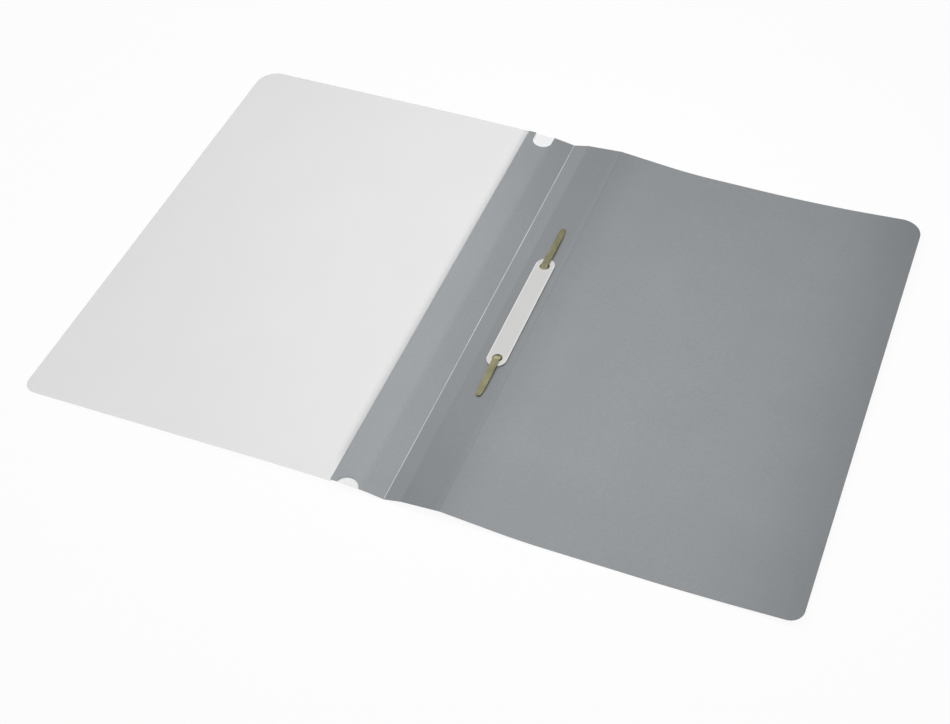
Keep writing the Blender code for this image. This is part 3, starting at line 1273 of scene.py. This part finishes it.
@dataclass(frozen=True)
class Lie:
    """Where the creases and the fastener are, and the lines that the two covers lie in."""

    ridge: Vector
    spine_crease: Vector
    front_crease: Vector
    fastener: Point = (-10.5 * MM, -1.6 * MM)
    hole_spacing: float = 80 * MM
    flap_width: float = 31 * MM
    front_width: float = 220.5 * MM
    flap_rise: float = math.radians(11.5)
    flap_level: float = math.radians(0.5)
    front_ease: float = 40 * MM
    front_edge_height: float = 1.15 * MM
    ramp_slope: float = math.radians(5.4)
    ramp_length: float = 32 * MM
    ramp_ease: float = 32 * MM
    rest_length: float = 40 * MM
    curl_length: float = 60 * MM
    curl: float = math.radians(3.3)

    @classmethod
    def from_frame(cls, frame: Mapping[str, Any]) -> "Lie":
        """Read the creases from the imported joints.

        Args:
            frame: The loaded frame.

        Returns:
            How the file lies.
        """
        places = {joint["name"]: joint.get("pos_m") for joint in frame["joints"]}
        return cls(*(Vector(places[name]) for name in ("margin_fold", "spine_fold", "front_fold")))

    @property
    def margin_tilt(self) -> float:
        """How steeply the margin falls from the ridge to the spine crease."""
        fall = self.ridge - self.spine_crease
        return math.atan2(fall.z, fall.x)

    @property
    def spine_tilt(self) -> float:
        """How steeply the spine falls from its crease to the front crease."""
        fall = self.spine_crease - self.front_crease
        return math.atan2(fall.z, fall.x)

    @property
    def front_end_slope(self) -> float:
        """How steeply the front cover ends, so that its outer edge lies near the table."""
        arch = BendLine(self.flap_rise, (Stretch(self.flap_width, self.flap_level - self.flap_rise),))
        flap_height = self.front_crease.z + arch.follow(self.flap_width)[1]
        half_ease = self.front_ease / 2
        straight = self.front_width - self.flap_width - self.front_ease
        fall = self.front_edge_height - flap_height - half_ease * self.flap_level
        return fall / (half_ease + straight)

    def back_line(self) -> BendLine:
        """The back cover's line: down a ramp, level on the table, then a slow curl up."""
        stretches = (
            Stretch(self.ramp_length),
            Stretch(self.ramp_ease, self.ramp_slope),
            Stretch(self.rest_length),
            Stretch(self.curl_length, self.curl),
        )
        return BendLine(-self.ramp_slope, stretches)

    def front_line(self) -> BendLine:
        """The front's line: the flap arches up, and the cover runs down to the table."""
        stretches = (
            Stretch(self.flap_width, self.flap_level - self.flap_rise),
            Stretch(self.front_ease, self.front_end_slope - self.flap_level),
        )
        return BendLine(self.flap_rise, stretches)

    def margin_frame(self) -> Matrix:
        """The margin's own frame, at the ridge, with X up the margin and Z off its face."""
        return Matrix.Translation(self.ridge) @ Matrix.Rotation(-self.margin_tilt, 4, "Y")

    def spine_frame(self) -> Matrix:
        """The spine's own frame, at the spine crease."""
        return Matrix.Translation(self.spine_crease) @ Matrix.Rotation(-self.spine_tilt, 4, "Y")

    def front_frame(self) -> Matrix:
        """The front's own frame, at the front crease, not turned."""
        return Matrix.Translation(self.front_crease)


# Sheets


@dataclass
class Sheet:
    """A flat sheet that is bent along a line and put in its place."""

    shop: Workshop
    lie: Lie
    height: float = 310 * MM
    thickness: float = 0.3 * MM
    edge_break: float = 0.05 * MM
    pitch: float = 6 * MM
    arc_pitch: float = 2.5 * MM
    head_radius: float = 13.5 * MM
    foot_radius: float = 8 * MM
    ripple_height: float = 0.5 * MM
    ripple_size: float = 75 * MM
    ripple_start: float = 30 * MM
    ripple_seed: float = 3.0

    def ripple(self) -> dict[str, float]:
        """The bending tree's inputs for the sheet's waves."""
        return {
            "Ripple Height": self.ripple_height,
            "Ripple Size": self.ripple_size,
            "Ripple Start": self.ripple_start,
            "Ripple Seed": self.ripple_seed,
        }

    def bent(
        self,
        loops: list[Loop],
        line: BendLine,
        frame: Matrix,
        material: bpy.types.Material,
        extra: Mapping[str, float] | None = None,
    ) -> bpy.types.Mesh:
        """Cut a drawing out of the sheet, bend it and break its edges.

        Args:
            loops: The flat cut's edge and its holes.
            line: The line that it is bent along.
            frame: Where the line starts.
            material: The sheet's material.
            extra: Other inputs of the bending tree.

        Returns:
            The finished mesh, in place.
        """
        xs, ys = zip(*loops[0])
        lines = line.stations(self.pitch, self.arc_pitch)
        lines += spread(lines[-1], max(lines[-1], *map(abs, xs)), self.pitch)[1:]
        columns = sorted({side * distance for distance in lines for side in (-1, 1)})
        columns = [x for x in columns if min(xs) < x < max(xs)]
        rows = spread(min(ys), max(ys), self.pitch)
        flat = Drawing(loops).solid(self.thickness, columns, rows, self.pitch)
        values = {"Layer": 0.0, "Ripple Size": 1.0, "Half Height": self.height / 2, "Finish": material}
        values.update(line.values())
        values.update(extra or {})
        mesh = rounded(self.shop.bend.mesh(flat, values), self.edge_break)
        mesh.transform(frame)
        return mesh

    def cover_outline(self, inner: float, outer: float, steps: int = 14) -> Loop:
        """A cover with a square side at the crease and two round outer corners.

        Args:
            inner: Where the cover starts, from the crease.
            outer: Where it ends, on the same side.
            steps: How many chords each corner has.

        Returns:
            The outline, anticlockwise.
        """
        half = self.height / 2
        foot = self.foot_radius
        head = self.head_radius
        points = [(abs(inner), -half)]
        points += arc_points((abs(outer) - foot, foot - half), foot, -QUARTER_TURN, 0, steps)
        points += arc_points((abs(outer) - head, half - head), head, 0, QUARTER_TURN, steps)
        points.append((abs(inner), half))
        if outer < 0:
            return [(-x, y) for x, y in reversed(points)]
        return points


@dataclass
class GreySheet(Sheet):
    """The grey sheet: the flap, the spine, the margin, the back cover and the creases between them."""

    back_width: float = 193 * MM
    margin_width: float = 22 * MM
    spine_width: float = 10 * MM
    crease_gap: float = 0.6 * MM
    crease_steps: int = 6
    crease_smooth: float = math.radians(40)
    notch_width: float = 12.4 * MM
    head_notch: Point = (20 * MM, 12 * MM)
    foot_notch: Point = (21 * MM, 5.3 * MM)
    label_start: float = 14.2 * MM
    slot_width: float = 4.4 * MM
    slot_length: float = 2.2 * MM
    slot_y: float = 37 * MM
    hole_shade: float = 0.25
    hole_shade_radius: float = 3.1 * MM
    head_lift: float = 2.4 * MM
    foot_lift: float = -0.9 * MM

    def notch(self, end: int, centre: float, depth: float, steps: int = 20) -> Loop:
        """A finger notch in an end of the flap.

        Args:
            end: 1 at the head and -1 at the foot.
            centre: How far from the crease its middle is.
            depth: The notch's depth.
            steps: How many chords its round bottom has.

        Returns:
            The notch's points, in the order of rising x.
        """
        edge = self.height / 2
        half_width = self.notch_width / 2
        bottom = half_width if depth > half_width else (half_width**2 + depth**2) / (2 * depth)
        reach = math.asin(half_width / bottom)
        centre_y = edge - depth + bottom
        points = arc_points((0, centre_y), bottom, -QUARTER_TURN - reach, reach - QUARTER_TURN, steps)
        if depth > half_width:
            points = [(-half_width, edge), *points, (half_width, edge)]
        return [(x - centre, end * y) for x, y in points]

    def panel_outline(self, width: float) -> Loop:
        """A plain panel of a width from crease to crease, on the far side of its first crease."""
        half = self.height / 2
        return rectangle(self.crease_gap / 2 - width, -self.crease_gap / 2, -half, half)

    def build_back(self) -> None:
        """Build the back cover."""
        lie = self.lie
        outer_x = lie.ridge.x + self.back_width
        # Painted shade: darker on the ramp by the ridge, much darker towards the outer edge and a little
        # darker towards the foot, for how the lamps light the cover.
        ramp = ToneZone(-FAR, lie.ridge.x + 8 * MM, 0.87, 32 * MM)
        curl = ToneZone(outer_x - 20 * MM, outer_x + FAR, 0.785, 80 * MM)
        foot = ToneZone(-FAR, -110 * MM, 0.96, 40 * MM, Run.ALONG)
        material = GreySheetFinish((ramp, curl, foot)).make("back_grey")
        outline = self.cover_outline(self.crease_gap / 2, self.back_width)
        extra = self.ripple() | {
            "Head Lift": self.head_lift,
            "Foot Lift": self.foot_lift,
            "Lift Start": lie.ramp_length + lie.ramp_ease,
            "Lift End": self.back_width,
        }
        mesh = self.bent([outline], lie.back_line(), Matrix.Translation(lie.ridge), material, extra)
        piece = finish_piece("back_cover_sheet", mesh, Slot.GREY_SHEET, ["back_cover"])
        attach(piece, Body.BACK.value)

    def build_margin(self) -> None:
        """Build the binding margin, with a slot for each prong."""
        frame = self.lie.margin_frame()
        middle_x, middle_y = self.lie.fastener
        loops = [self.panel_outline(self.margin_width)]
        low_x = middle_x - self.slot_width / 2
        high_x = middle_x + self.slot_width / 2
        # Painted shade: the whole margin darker, and darker still towards the foot, with painted light
        # along the ridge, for how the lamps light its slope.
        whole = ToneZone(-FAR, FAR, 0.782)
        foot = ToneZone(-FAR, -128 * MM, 0.925, 70 * MM, Run.ALONG)
        crest = ToneZone(self.lie.ridge.x - 2.5 * MM, FAR, 1.07, 4 * MM)
        painted_light_zones: list[ToneZone | ToneSpot] = [whole, foot, crest]
        for end in (-1, 1):
            low_y = middle_y + end * self.slot_y - self.slot_length / 2
            loops.append(rectangle(low_x, high_x, low_y, low_y + self.slot_length)[::-1])
            # Painted shade under each of the bar's holes, where the margin lies in shade.
            hole = frame @ Vector((middle_x, middle_y + end * self.lie.hole_spacing / 2, 0))
            painted_light_zones.append(ToneSpot((hole.x, hole.y), self.hole_shade_radius, self.hole_shade))
        material = GreySheetFinish(tuple(painted_light_zones)).make("margin_grey")
        mesh = self.bent(loops, BendLine(), frame, material)
        piece = finish_piece("binding_margin_sheet", mesh, Slot.GREY_SHEET, ["binding_margin"])
        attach(piece, Body.MARGIN.value)

    def build_spine(self) -> None:
        """Build the spine panel."""
        # Painted shade: the whole spine darker, for how the lamps light its slope.
        material = GreySheetFinish((ToneZone(-FAR, FAR, 0.86),)).make("spine_grey")
        outline = self.panel_outline(self.spine_width)
        mesh = self.bent([outline], BendLine(), self.lie.spine_frame(), material)
        piece = finish_piece("spine_sheet", mesh, Slot.GREY_SHEET, ["spine_panel"])
        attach(piece, Body.SPINE.value)

    def build_flap(self) -> None:
        """Build the label flap, with a finger notch at either end."""
        lie = self.lie
        half = self.height / 2
        inner = -self.crease_gap / 2
        outline = [(-lie.flap_width, -half), *self.notch(-1, *self.foot_notch), (inner, -half)]
        outline += [(inner, half), *reversed(self.notch(1, *self.head_notch)), (-lie.flap_width, half)]
        # Lighter over the label card: partly the white card showing through the sheet, partly painted
        # light on the flatter part of the flap. Painted light and shade: a little lighter towards the foot
        # and darker towards the head.
        label = ToneZone(-FAR, lie.front_crease.x - self.label_start, 1.11, 5 * MM)
        below = ToneZone(-FAR, -40 * MM, 1.025, 80 * MM, Run.ALONG)
        above = ToneZone(95 * MM, FAR, 0.965, 60 * MM, Run.ALONG)
        material = GreySheetFinish((label, below, above)).make("flap_grey")
        mesh = self.bent([outline], lie.front_line(), lie.front_frame(), material)
        piece = finish_piece("label_flap_sheet", mesh, Slot.GREY_SHEET, ["label_flap"])
        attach(piece, Body.FRONT.value)

    def build_creases(self) -> None:
        """Build the three crease strips, each from the panel on its right to the one on its left."""
        lie = self.lie
        reach = self.crease_gap / 2
        folds = (lie.ridge, lie.spine_crease, lie.front_crease)
        starts = [lie.back_line().place(lie.ridge, 1, reach)]
        starts += [fold + (last - fold).normalized() * reach for last, fold in zip(folds, folds[1:])]
        lines = (BendLine(-lie.margin_tilt), BendLine(-lie.spine_tilt), lie.front_line())
        ends = [line.place(fold, -1, reach) for line, fold in zip(lines, folds)]
        # Painted shade: the grey crease strips are darker than the panels, as shade in the creases.
        grey = GreySheetFinish((ToneZone(-FAR, FAR, 0.81),)).make("crease_grey")
        white = ScoreLineFinish(lie.front_crease.x).make("crease_white")
        joined = (
            ("ridge_crease", Body.BACK, Body.MARGIN, grey),
            ("spine_crease", Body.MARGIN, Body.SPINE, grey),
            ("front_crease", Body.SPINE, Body.FRONT, white),
        )
        for (name, first, second, material), start, fold, end in zip(joined, starts, folds, ends):
            values = {
                "Start": start,
                "Fold": fold,
                "End": end,
                "Half Length": self.height / 2,
                "Steps": self.crease_steps,
                "Finish": material,
            }
            strip = scene_object(name, self.shop.crease.mesh(bpy.data.meshes.new(name), values))
            wall = strip.modifiers.new("wall", "SOLIDIFY")
            wall.thickness = self.thickness
            wall.offset = 0.0
            mesh = evaluated_mesh(strip)
            mesh.shade_smooth()
            mesh.set_sharp_from_angle(angle=self.crease_smooth)
            piece = finish_piece(name, mesh, Slot.GREY_SHEET)
            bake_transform(piece)

    def build(self) -> None:
        """Build the panels and the creases."""
        self.build_back()
        self.build_margin()
        self.build_spine()
        self.build_flap()
        self.build_creases()


@dataclass
class ClearFront(Sheet):
    """The clear front cover, its weld seams and the label card in the pocket."""

    height: float = 311 * MM
    thickness: float = 0.2 * MM
    ripple_size: float = 90 * MM
    ripple_start: float = 40 * MM
    ripple_seed: float = 8.0
    cover_inset: float = 2 * MM
    cover_layer: float = -0.75 * MM
    flap_trim: float = 1.3 * MM
    trim_taper: float = 1 * MM
    label_width: float = 16.5 * MM
    label_length: float = 309.5 * MM
    label_edge: float = 1.2 * MM
    label_layer: float = -0.4 * MM
    outer_weld: float = 30.4 * MM
    inner_weld: float = 3 * MM
    weld_margin: float = 2 * MM
    bead_pitch: float = 1.55 * MM
    bead_size: Place = (0.9 * MM, 1.7 * MM, 0.56 * MM)
    bead_spread: float = 0.06
    bead_seed: int = 5

    def trimmed_outline(self) -> Loop:
        """The cover's outline, anticlockwise, cut back at both ends where it runs under the flap."""
        half = self.height / 2
        cut = half - self.flap_trim
        flap_x = -self.lie.flap_width
        head = [(-self.cover_inset, cut), (flap_x + self.trim_taper, cut), (flap_x, half)]
        foot = [(x, -y) for x, y in reversed(head)]
        return [*head, *self.cover_outline(-self.cover_inset, -self.lie.front_width)[1:-1], *foot]

    def build_cover(self) -> None:
        """Build the clear cover."""
        lie = self.lie
        flap_edge = lie.front_line().place(lie.front_crease, -1, lie.flap_width)
        material = ClearSheetFinish(flap_edge.x).make("cover_clear")
        extra = self.ripple() | {"Layer": self.cover_layer}
        mesh = self.bent([self.trimmed_outline()], lie.front_line(), lie.front_frame(), material, extra)
        piece = finish_piece("front_cover_sheet", mesh, Slot.CLEAR_SHEET, ["front_cover"])
        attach(piece, Body.FRONT.value)

    def build_label(self) -> None:
        """Build the label card."""
        lie = self.lie
        half = self.label_length / 2
        outer = self.label_edge - lie.flap_width
        outline = rectangle(outer, outer + self.label_width, -half, half)
        extra = {"Layer": self.label_layer}
        material = CardFinish().make("label_white")
        mesh = self.bent([outline], lie.front_line(), lie.front_frame(), material, extra)
        piece = finish_piece("label_paper_strip", mesh, Slot.LABEL_PAPER, ["label_card"])
        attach(piece, Body.LABEL.value)

    def build_welds(self) -> None:
        """Build the rows of weld beads that hold the cover to the flap."""
        lie = self.lie
        half = self.height / 2 - self.weld_margin
        material = GreySheetFinish().make("weld_grey")
        for name, distance in (("outer_weld_seam", self.outer_weld), ("inner_weld_seam", self.inner_weld)):
            middle = lie.front_line().place(lie.front_crease, -1, distance, self.label_layer)
            values = {
                "Start": middle - Vector((0, half, 0)),
                "End": middle + Vector((0, half, 0)),
                "Beads": round(2 * half / self.bead_pitch) + 1,
                "Bead Size": self.bead_size,
                "Size Spread": self.bead_spread,
                "Seed": self.bead_seed,
                "Finish": material,
            }
            mesh = self.shop.weld.mesh(bpy.data.meshes.new(name), values)
            piece = finish_piece(name, mesh, Slot.GREY_SHEET)
            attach(piece, Body.FRONT.value)

    def build(self) -> None:
        """Build the cover, the card and the welds."""
        self.build_cover()
        self.build_label()
        self.build_welds()


# Fastener


@dataclass
class ProngFastener(Sheet):
    """The metal strip, bent up through the margin into two prongs."""

    thickness: float = 0.4 * MM
    edge_break: float = 0.06 * MM
    pitch: float = 1.2 * MM
    arc_pitch: float = 0.16 * MM
    layer: float = -0.5 * MM
    base_width: float = 7 * MM
    base_end: float = 34.5 * MM
    base_shoulder: float = 1.5 * MM
    ramp_start: float = 35.76 * MM
    ramp_length: float = 5.83 * MM
    ramp_slope: float = math.radians(22)
    droop: float = math.radians(1.6)
    bend_radius: float = 2.5 * MM
    joint_y: float = 36.5 * MM
    hinge_y: float = 38.8 * MM
    blend_start: Point = (37.5 * MM, 0.2 * MM)
    blend_end: Point = (41.2 * MM, 1.7 * MM)
    prong_width: float = 4.3 * MM
    prong_taper: float = 6 * MM
    tip_radius: float = 1.6 * MM
    tip_steps: int = 14
    upper_length: float = 36.5 * MM
    lower_length: float = 32 * MM

    def line(self) -> BendLine:
        """The strip's line: along the margin, up a ramp through it, and out again with a droop."""
        fall = self.ramp_slope + self.droop
        low = self.bend_radius * math.tan(self.ramp_slope / 2)
        high = self.bend_radius * math.tan(fall / 2)
        stretches = (
            Stretch(self.ramp_start - low),
            Stretch(self.bend_radius * self.ramp_slope, self.ramp_slope),
            Stretch(self.ramp_length - low - high),
            Stretch(self.bend_radius * fall, -fall),
        )
        return BendLine(0.0, stretches)

    def split(self) -> float:
        """Where along the strip a prong is parted from the base, inside the margin's slot."""
        bend_end = sum(stretch.length for stretch in self.line().stretches[:2])
        return bend_end + (self.joint_y - self.line().follow(bend_end)[0]) / math.cos(self.ramp_slope)

    def tip(self, length: float) -> float:
        """Where along the strip a prong ends.

        Args:
            length: The prong's length from its hinge.

        Returns:
            The distance from the strip's middle.
        """
        bends = sum(stretch.length for stretch in self.line().stretches)
        run = self.hinge_y + length * math.cos(self.droop) - self.line().follow(bends)[0]
        return bends + run / math.cos(self.droop)

    def frame(self) -> Matrix:
        """Where the strip's middle is, with X along the strip."""
        middle = Matrix.Translation((*self.lie.fastener, self.layer))
        return self.lie.margin_frame() @ middle @ Matrix.Rotation(QUARTER_TURN, 4, "Z")

    def build_base(self, material: bpy.types.Material) -> None:
        """Build the strip behind the margin.

        Args:
            material: The strip's material.
        """
        narrow = self.prong_width / 2
        wide = self.base_width / 2
        shoulder = self.base_end - self.base_shoulder
        quarter = [(self.split(), narrow), (self.base_end, narrow), (shoulder, wide)]
        outline = [(x, -y) for x, y in reversed(quarter)] + quarter
        outline += [(-x, y) for x, y in reversed(quarter)] + [(-x, -y) for x, y in quarter]
        mesh = self.bent([outline], self.line(), self.frame(), material)
        piece = finish_piece("fastener_strip", mesh, Slot.FASTENER_METAL, ["fastener_base"])
        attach(piece, Body.MARGIN.value)

    def build_prong(self, end: int, material: bpy.types.Material) -> None:
        """Build one prong, from the margin's slot to its tip.

        Args:
            end: 1 for the upper prong and -1 for the lower one.
            material: The strip's material.
        """
        narrow = self.prong_width / 2
        tip = self.tip(self.upper_length if end > 0 else self.lower_length)
        round_end = (tip - self.tip_radius, 0)
        outline = [(self.split(), -narrow), (tip - self.prong_taper, -narrow)]
        outline += arc_points(round_end, self.tip_radius, -QUARTER_TURN, QUARTER_TURN, self.tip_steps)
        outline += [(tip - self.prong_taper, narrow), (self.split(), narrow)]
        if end < 0:
            outline = [(-x, -y) for x, y in outline]
        mesh = self.bent([outline], self.line(), self.frame(), material)
        node = "prong_upper" if end > 0 else "prong_lower"
        piece = finish_piece(f"{node}_strip", mesh, Slot.FASTENER_METAL, [node])
        middle_x, middle_y = self.lie.fastener
        for along, height in (self.blend_start, self.blend_end):
            place = self.lie.margin_frame() @ Vector((middle_x, middle_y + end * along, height))
        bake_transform(piece)

    def build(self) -> None:
        """Build the prongs and the strip, with light and shade painted on their bends and prongs."""
        # Painted light and shade: a painted highlight on the lower bend, painted shade on the upper bend
        # and both prongs a little darker, for how the lamps' reflections fall on the strip.
        lower_prong = ToneZone(-FAR, -43 * MM, 0.97, 2 * MM, Run.ALONG)
        lower_bend = ToneZone(-43 * MM, -36 * MM, 2.0, 1 * MM, Run.ALONG)
        upper_bend = ToneZone(33 * MM, 39.5 * MM, 0.72, 1 * MM, Run.ALONG)
        upper_prong = ToneZone(40.5 * MM, FAR, 0.98, 2 * MM, Run.ALONG)
        finish = BrassedSteelFinish((lower_prong, lower_bend, upper_bend, upper_prong))
        material = finish.make("strip_brassed")
        for end in (1, -1):
            self.build_prong(end, material)
        self.build_base(material)


@dataclass
class CompressorBar:
    """The moulded bar that holds the papers down under the prongs."""

    lie: Lie
    width: float = 12 * MM
    end_length: float = 6.75 * MM
    end_steps: int = 18
    hole_radius: float = 2.966 * MM
    hole_steps: int = 36
    floor: float = 0.3 * MM
    thickness: float = 0.7 * MM
    pitch: float = 3 * MM
    rounding: float = 0.3 * MM
    rounding_steps: int = 3
    rounding_limit: float = 40.0

    def drawing(self) -> Drawing:
        """The bar's flat outline, with straight sides and full-round ends, and its two holes."""
        hole_y = self.lie.hole_spacing / 2
        radius = self.width / 2
        end_y = hole_y + self.end_length - radius
        outline = arc_points((0, end_y), radius, 0, math.pi, self.end_steps)
        outline += arc_points((0, -end_y), radius, math.pi, 2 * math.pi, self.end_steps)
        loops = [outline]
        for end in (-1, 1):
            ring = arc_points((0, end * hole_y), self.hole_radius, 0, 2 * math.pi, self.hole_steps)
            loops.append(ring[-2::-1])
        return Drawing(loops)

    def build(self) -> None:
        """Build the bar in its place on the margin."""
        frame = self.lie.margin_frame()
        flat = self.drawing().solid(self.thickness, (), (), self.pitch)
        mesh = rounded(flat, self.rounding, self.rounding_steps, self.rounding_limit)
        middle = Vector((*self.lie.fastener, self.floor + self.thickness / 2))
        mesh.transform(frame @ Matrix.Translation(middle))
        top = frame @ Vector((*self.lie.fastener, self.floor + self.thickness))
        normal = frame.to_3x3() @ Vector((0, 0, 1))
        finish = BarPlasticFinish(top, normal, self.width / 2, self.lie.hole_spacing / 2)
        mesh.materials.append(finish.make("bar_white"))
        piece = finish_piece("compressor_bar_moulding", mesh, Slot.BAR_PLASTIC, ["compressor_bar"])
        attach(piece, Body.COMPRESSOR.value)


# Studio


@dataclass(frozen=True)
class SoftBox:
    """One soft square lamp."""

    name: str
    place: Place
    aim: Place
    size: float
    power: float

    def build(self) -> None:
        """Hang the lamp."""
        light = bpy.data.lights.new(self.name, "AREA")
        light.shape = "RECTANGLE"
        light.size = self.size
        light.size_y = self.size
        light.energy = self.power
        lamp = bpy.data.objects.new(self.name, light)
        lamp.location = self.place
        lamp.rotation_euler = (Vector(self.aim) - Vector(self.place)).to_track_quat("-Z", "Y").to_euler()
        bpy.context.scene.collection.objects.link(lamp)


@dataclass
class Studio:
    """The floor, the lamps and the camera."""

    azimuth: float = math.radians(21.446)
    elevation: float = math.radians(46.941)
    roll: float = math.radians(-0.371)
    distance: float = 965.755 * MM
    target: Place = (6.894 * MM, -44.975 * MM, 0.0)
    focal_pixels: float = 1702.461
    frame_pixels: float = 950
    sensor_width: float = 36.0
    floor_size: float = 32.0
    floor_drop: float = 0.1 * MM
    wall_height: float = 8.0
    world_strength: float = 0.15
    lamps: tuple[SoftBox, ...] = (
        SoftBox("side_box", (-1.3, 0.25, 1.45), (0.0, 0.0, 0.0), 0.7, 9.2),
        SoftBox("back_box", (-0.6, 1.1, 0.85), (0.0, 0.0, 0.0), 0.6, 1.6),
        SoftBox("top_box", (0.045, 0.008, 0.42), (0.045, 0.008, 0.0), 0.36, 1.34),
    )

    def build_floor(self) -> None:
        """Lay the white floor, which isn't part of the object, with a white wall far off on each side."""
        half = self.floor_size / 2
        outline = rectangle(-half, half, -half, half)
        low = [(x, y, -self.floor_drop) for x, y in outline]
        high = [(x, y, self.wall_height) for x, y in outline]
        walls = [[side, side + 4, (side + 1) % 4 + 4, (side + 1) % 4] for side in range(4)]
        mesh = bpy.data.meshes.new("floor")
        mesh.from_pydata(low + high, [], [[0, 1, 2, 3], *walls])
        mesh.materials.append(FloorFinish().make("floor_white"))
        scene_object("floor", mesh)

    def build_world(self) -> None:
        """Fill the room with even light."""
        scene = bpy.context.scene
        scene.world = scene.world or bpy.data.worlds.new("room")
        scene.world.use_nodes = True
        tree = scene.world.node_tree
        tree.nodes.clear()
        bench = NodeBench(tree)
        sockets = {"Color": (1.0, 1.0, 1.0, 1.0), "Strength": self.world_strength}
        light = bench.add("ShaderNodeBackground", None, sockets)
        bench.add("ShaderNodeOutputWorld", None, {"Surface": light})

    def build_camera(self) -> None:
        """Set up the camera at the photograph's viewpoint."""
        level = math.cos(self.elevation)
        across = math.sin(self.azimuth) * level
        along = -math.cos(self.azimuth) * level
        outwards = Vector((across, along, math.sin(self.elevation)))
        rightwards = (-outwards).cross(Vector((0, 0, 1))).normalized()
        upwards = outwards.cross(rightwards)
        turned = Matrix((rightwards, upwards, outwards)).transposed().to_4x4()
        data = bpy.data.cameras.new("camera")
        data.sensor_width = self.sensor_width
        data.sensor_fit = "HORIZONTAL"
        data.lens = self.focal_pixels / self.frame_pixels * self.sensor_width
        camera = bpy.data.objects.new("camera", data)
        stand = Matrix.Translation(Vector(self.target) + outwards * self.distance)
        camera.matrix_world = stand @ turned @ Matrix.Rotation(self.roll, 4, "Z")
        bpy.context.scene.collection.objects.link(camera)
        bpy.context.scene.camera = camera

    def build(self) -> None:
        """Set up the whole studio."""
        self.build_floor()
        self.build_world()
        self.build_camera()
        for lamp in self.lamps:
            lamp.build()
        bpy.context.scene.view_settings.view_transform = "Standard"


def corners(box: Iterable[Iterable[float]]) -> list[list[float]]:
    """A box's two corners as plain numbers."""
    return [[float(value) for value in corner] for corner in box]


def main() -> None:
    """Build the file and its studio."""
    logging.basicConfig(level=logging.INFO, format="%(message)s")
    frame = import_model()
    lie = Lie.from_frame(frame)
    shop = Workshop()

    Studio().build()
    GreySheet(shop, lie).build()
    ClearFront(shop, lie).build()
    ProngFastener(shop, lie).build()
    CompressorBar(lie).build()


if __name__ == "__main__":
    main()
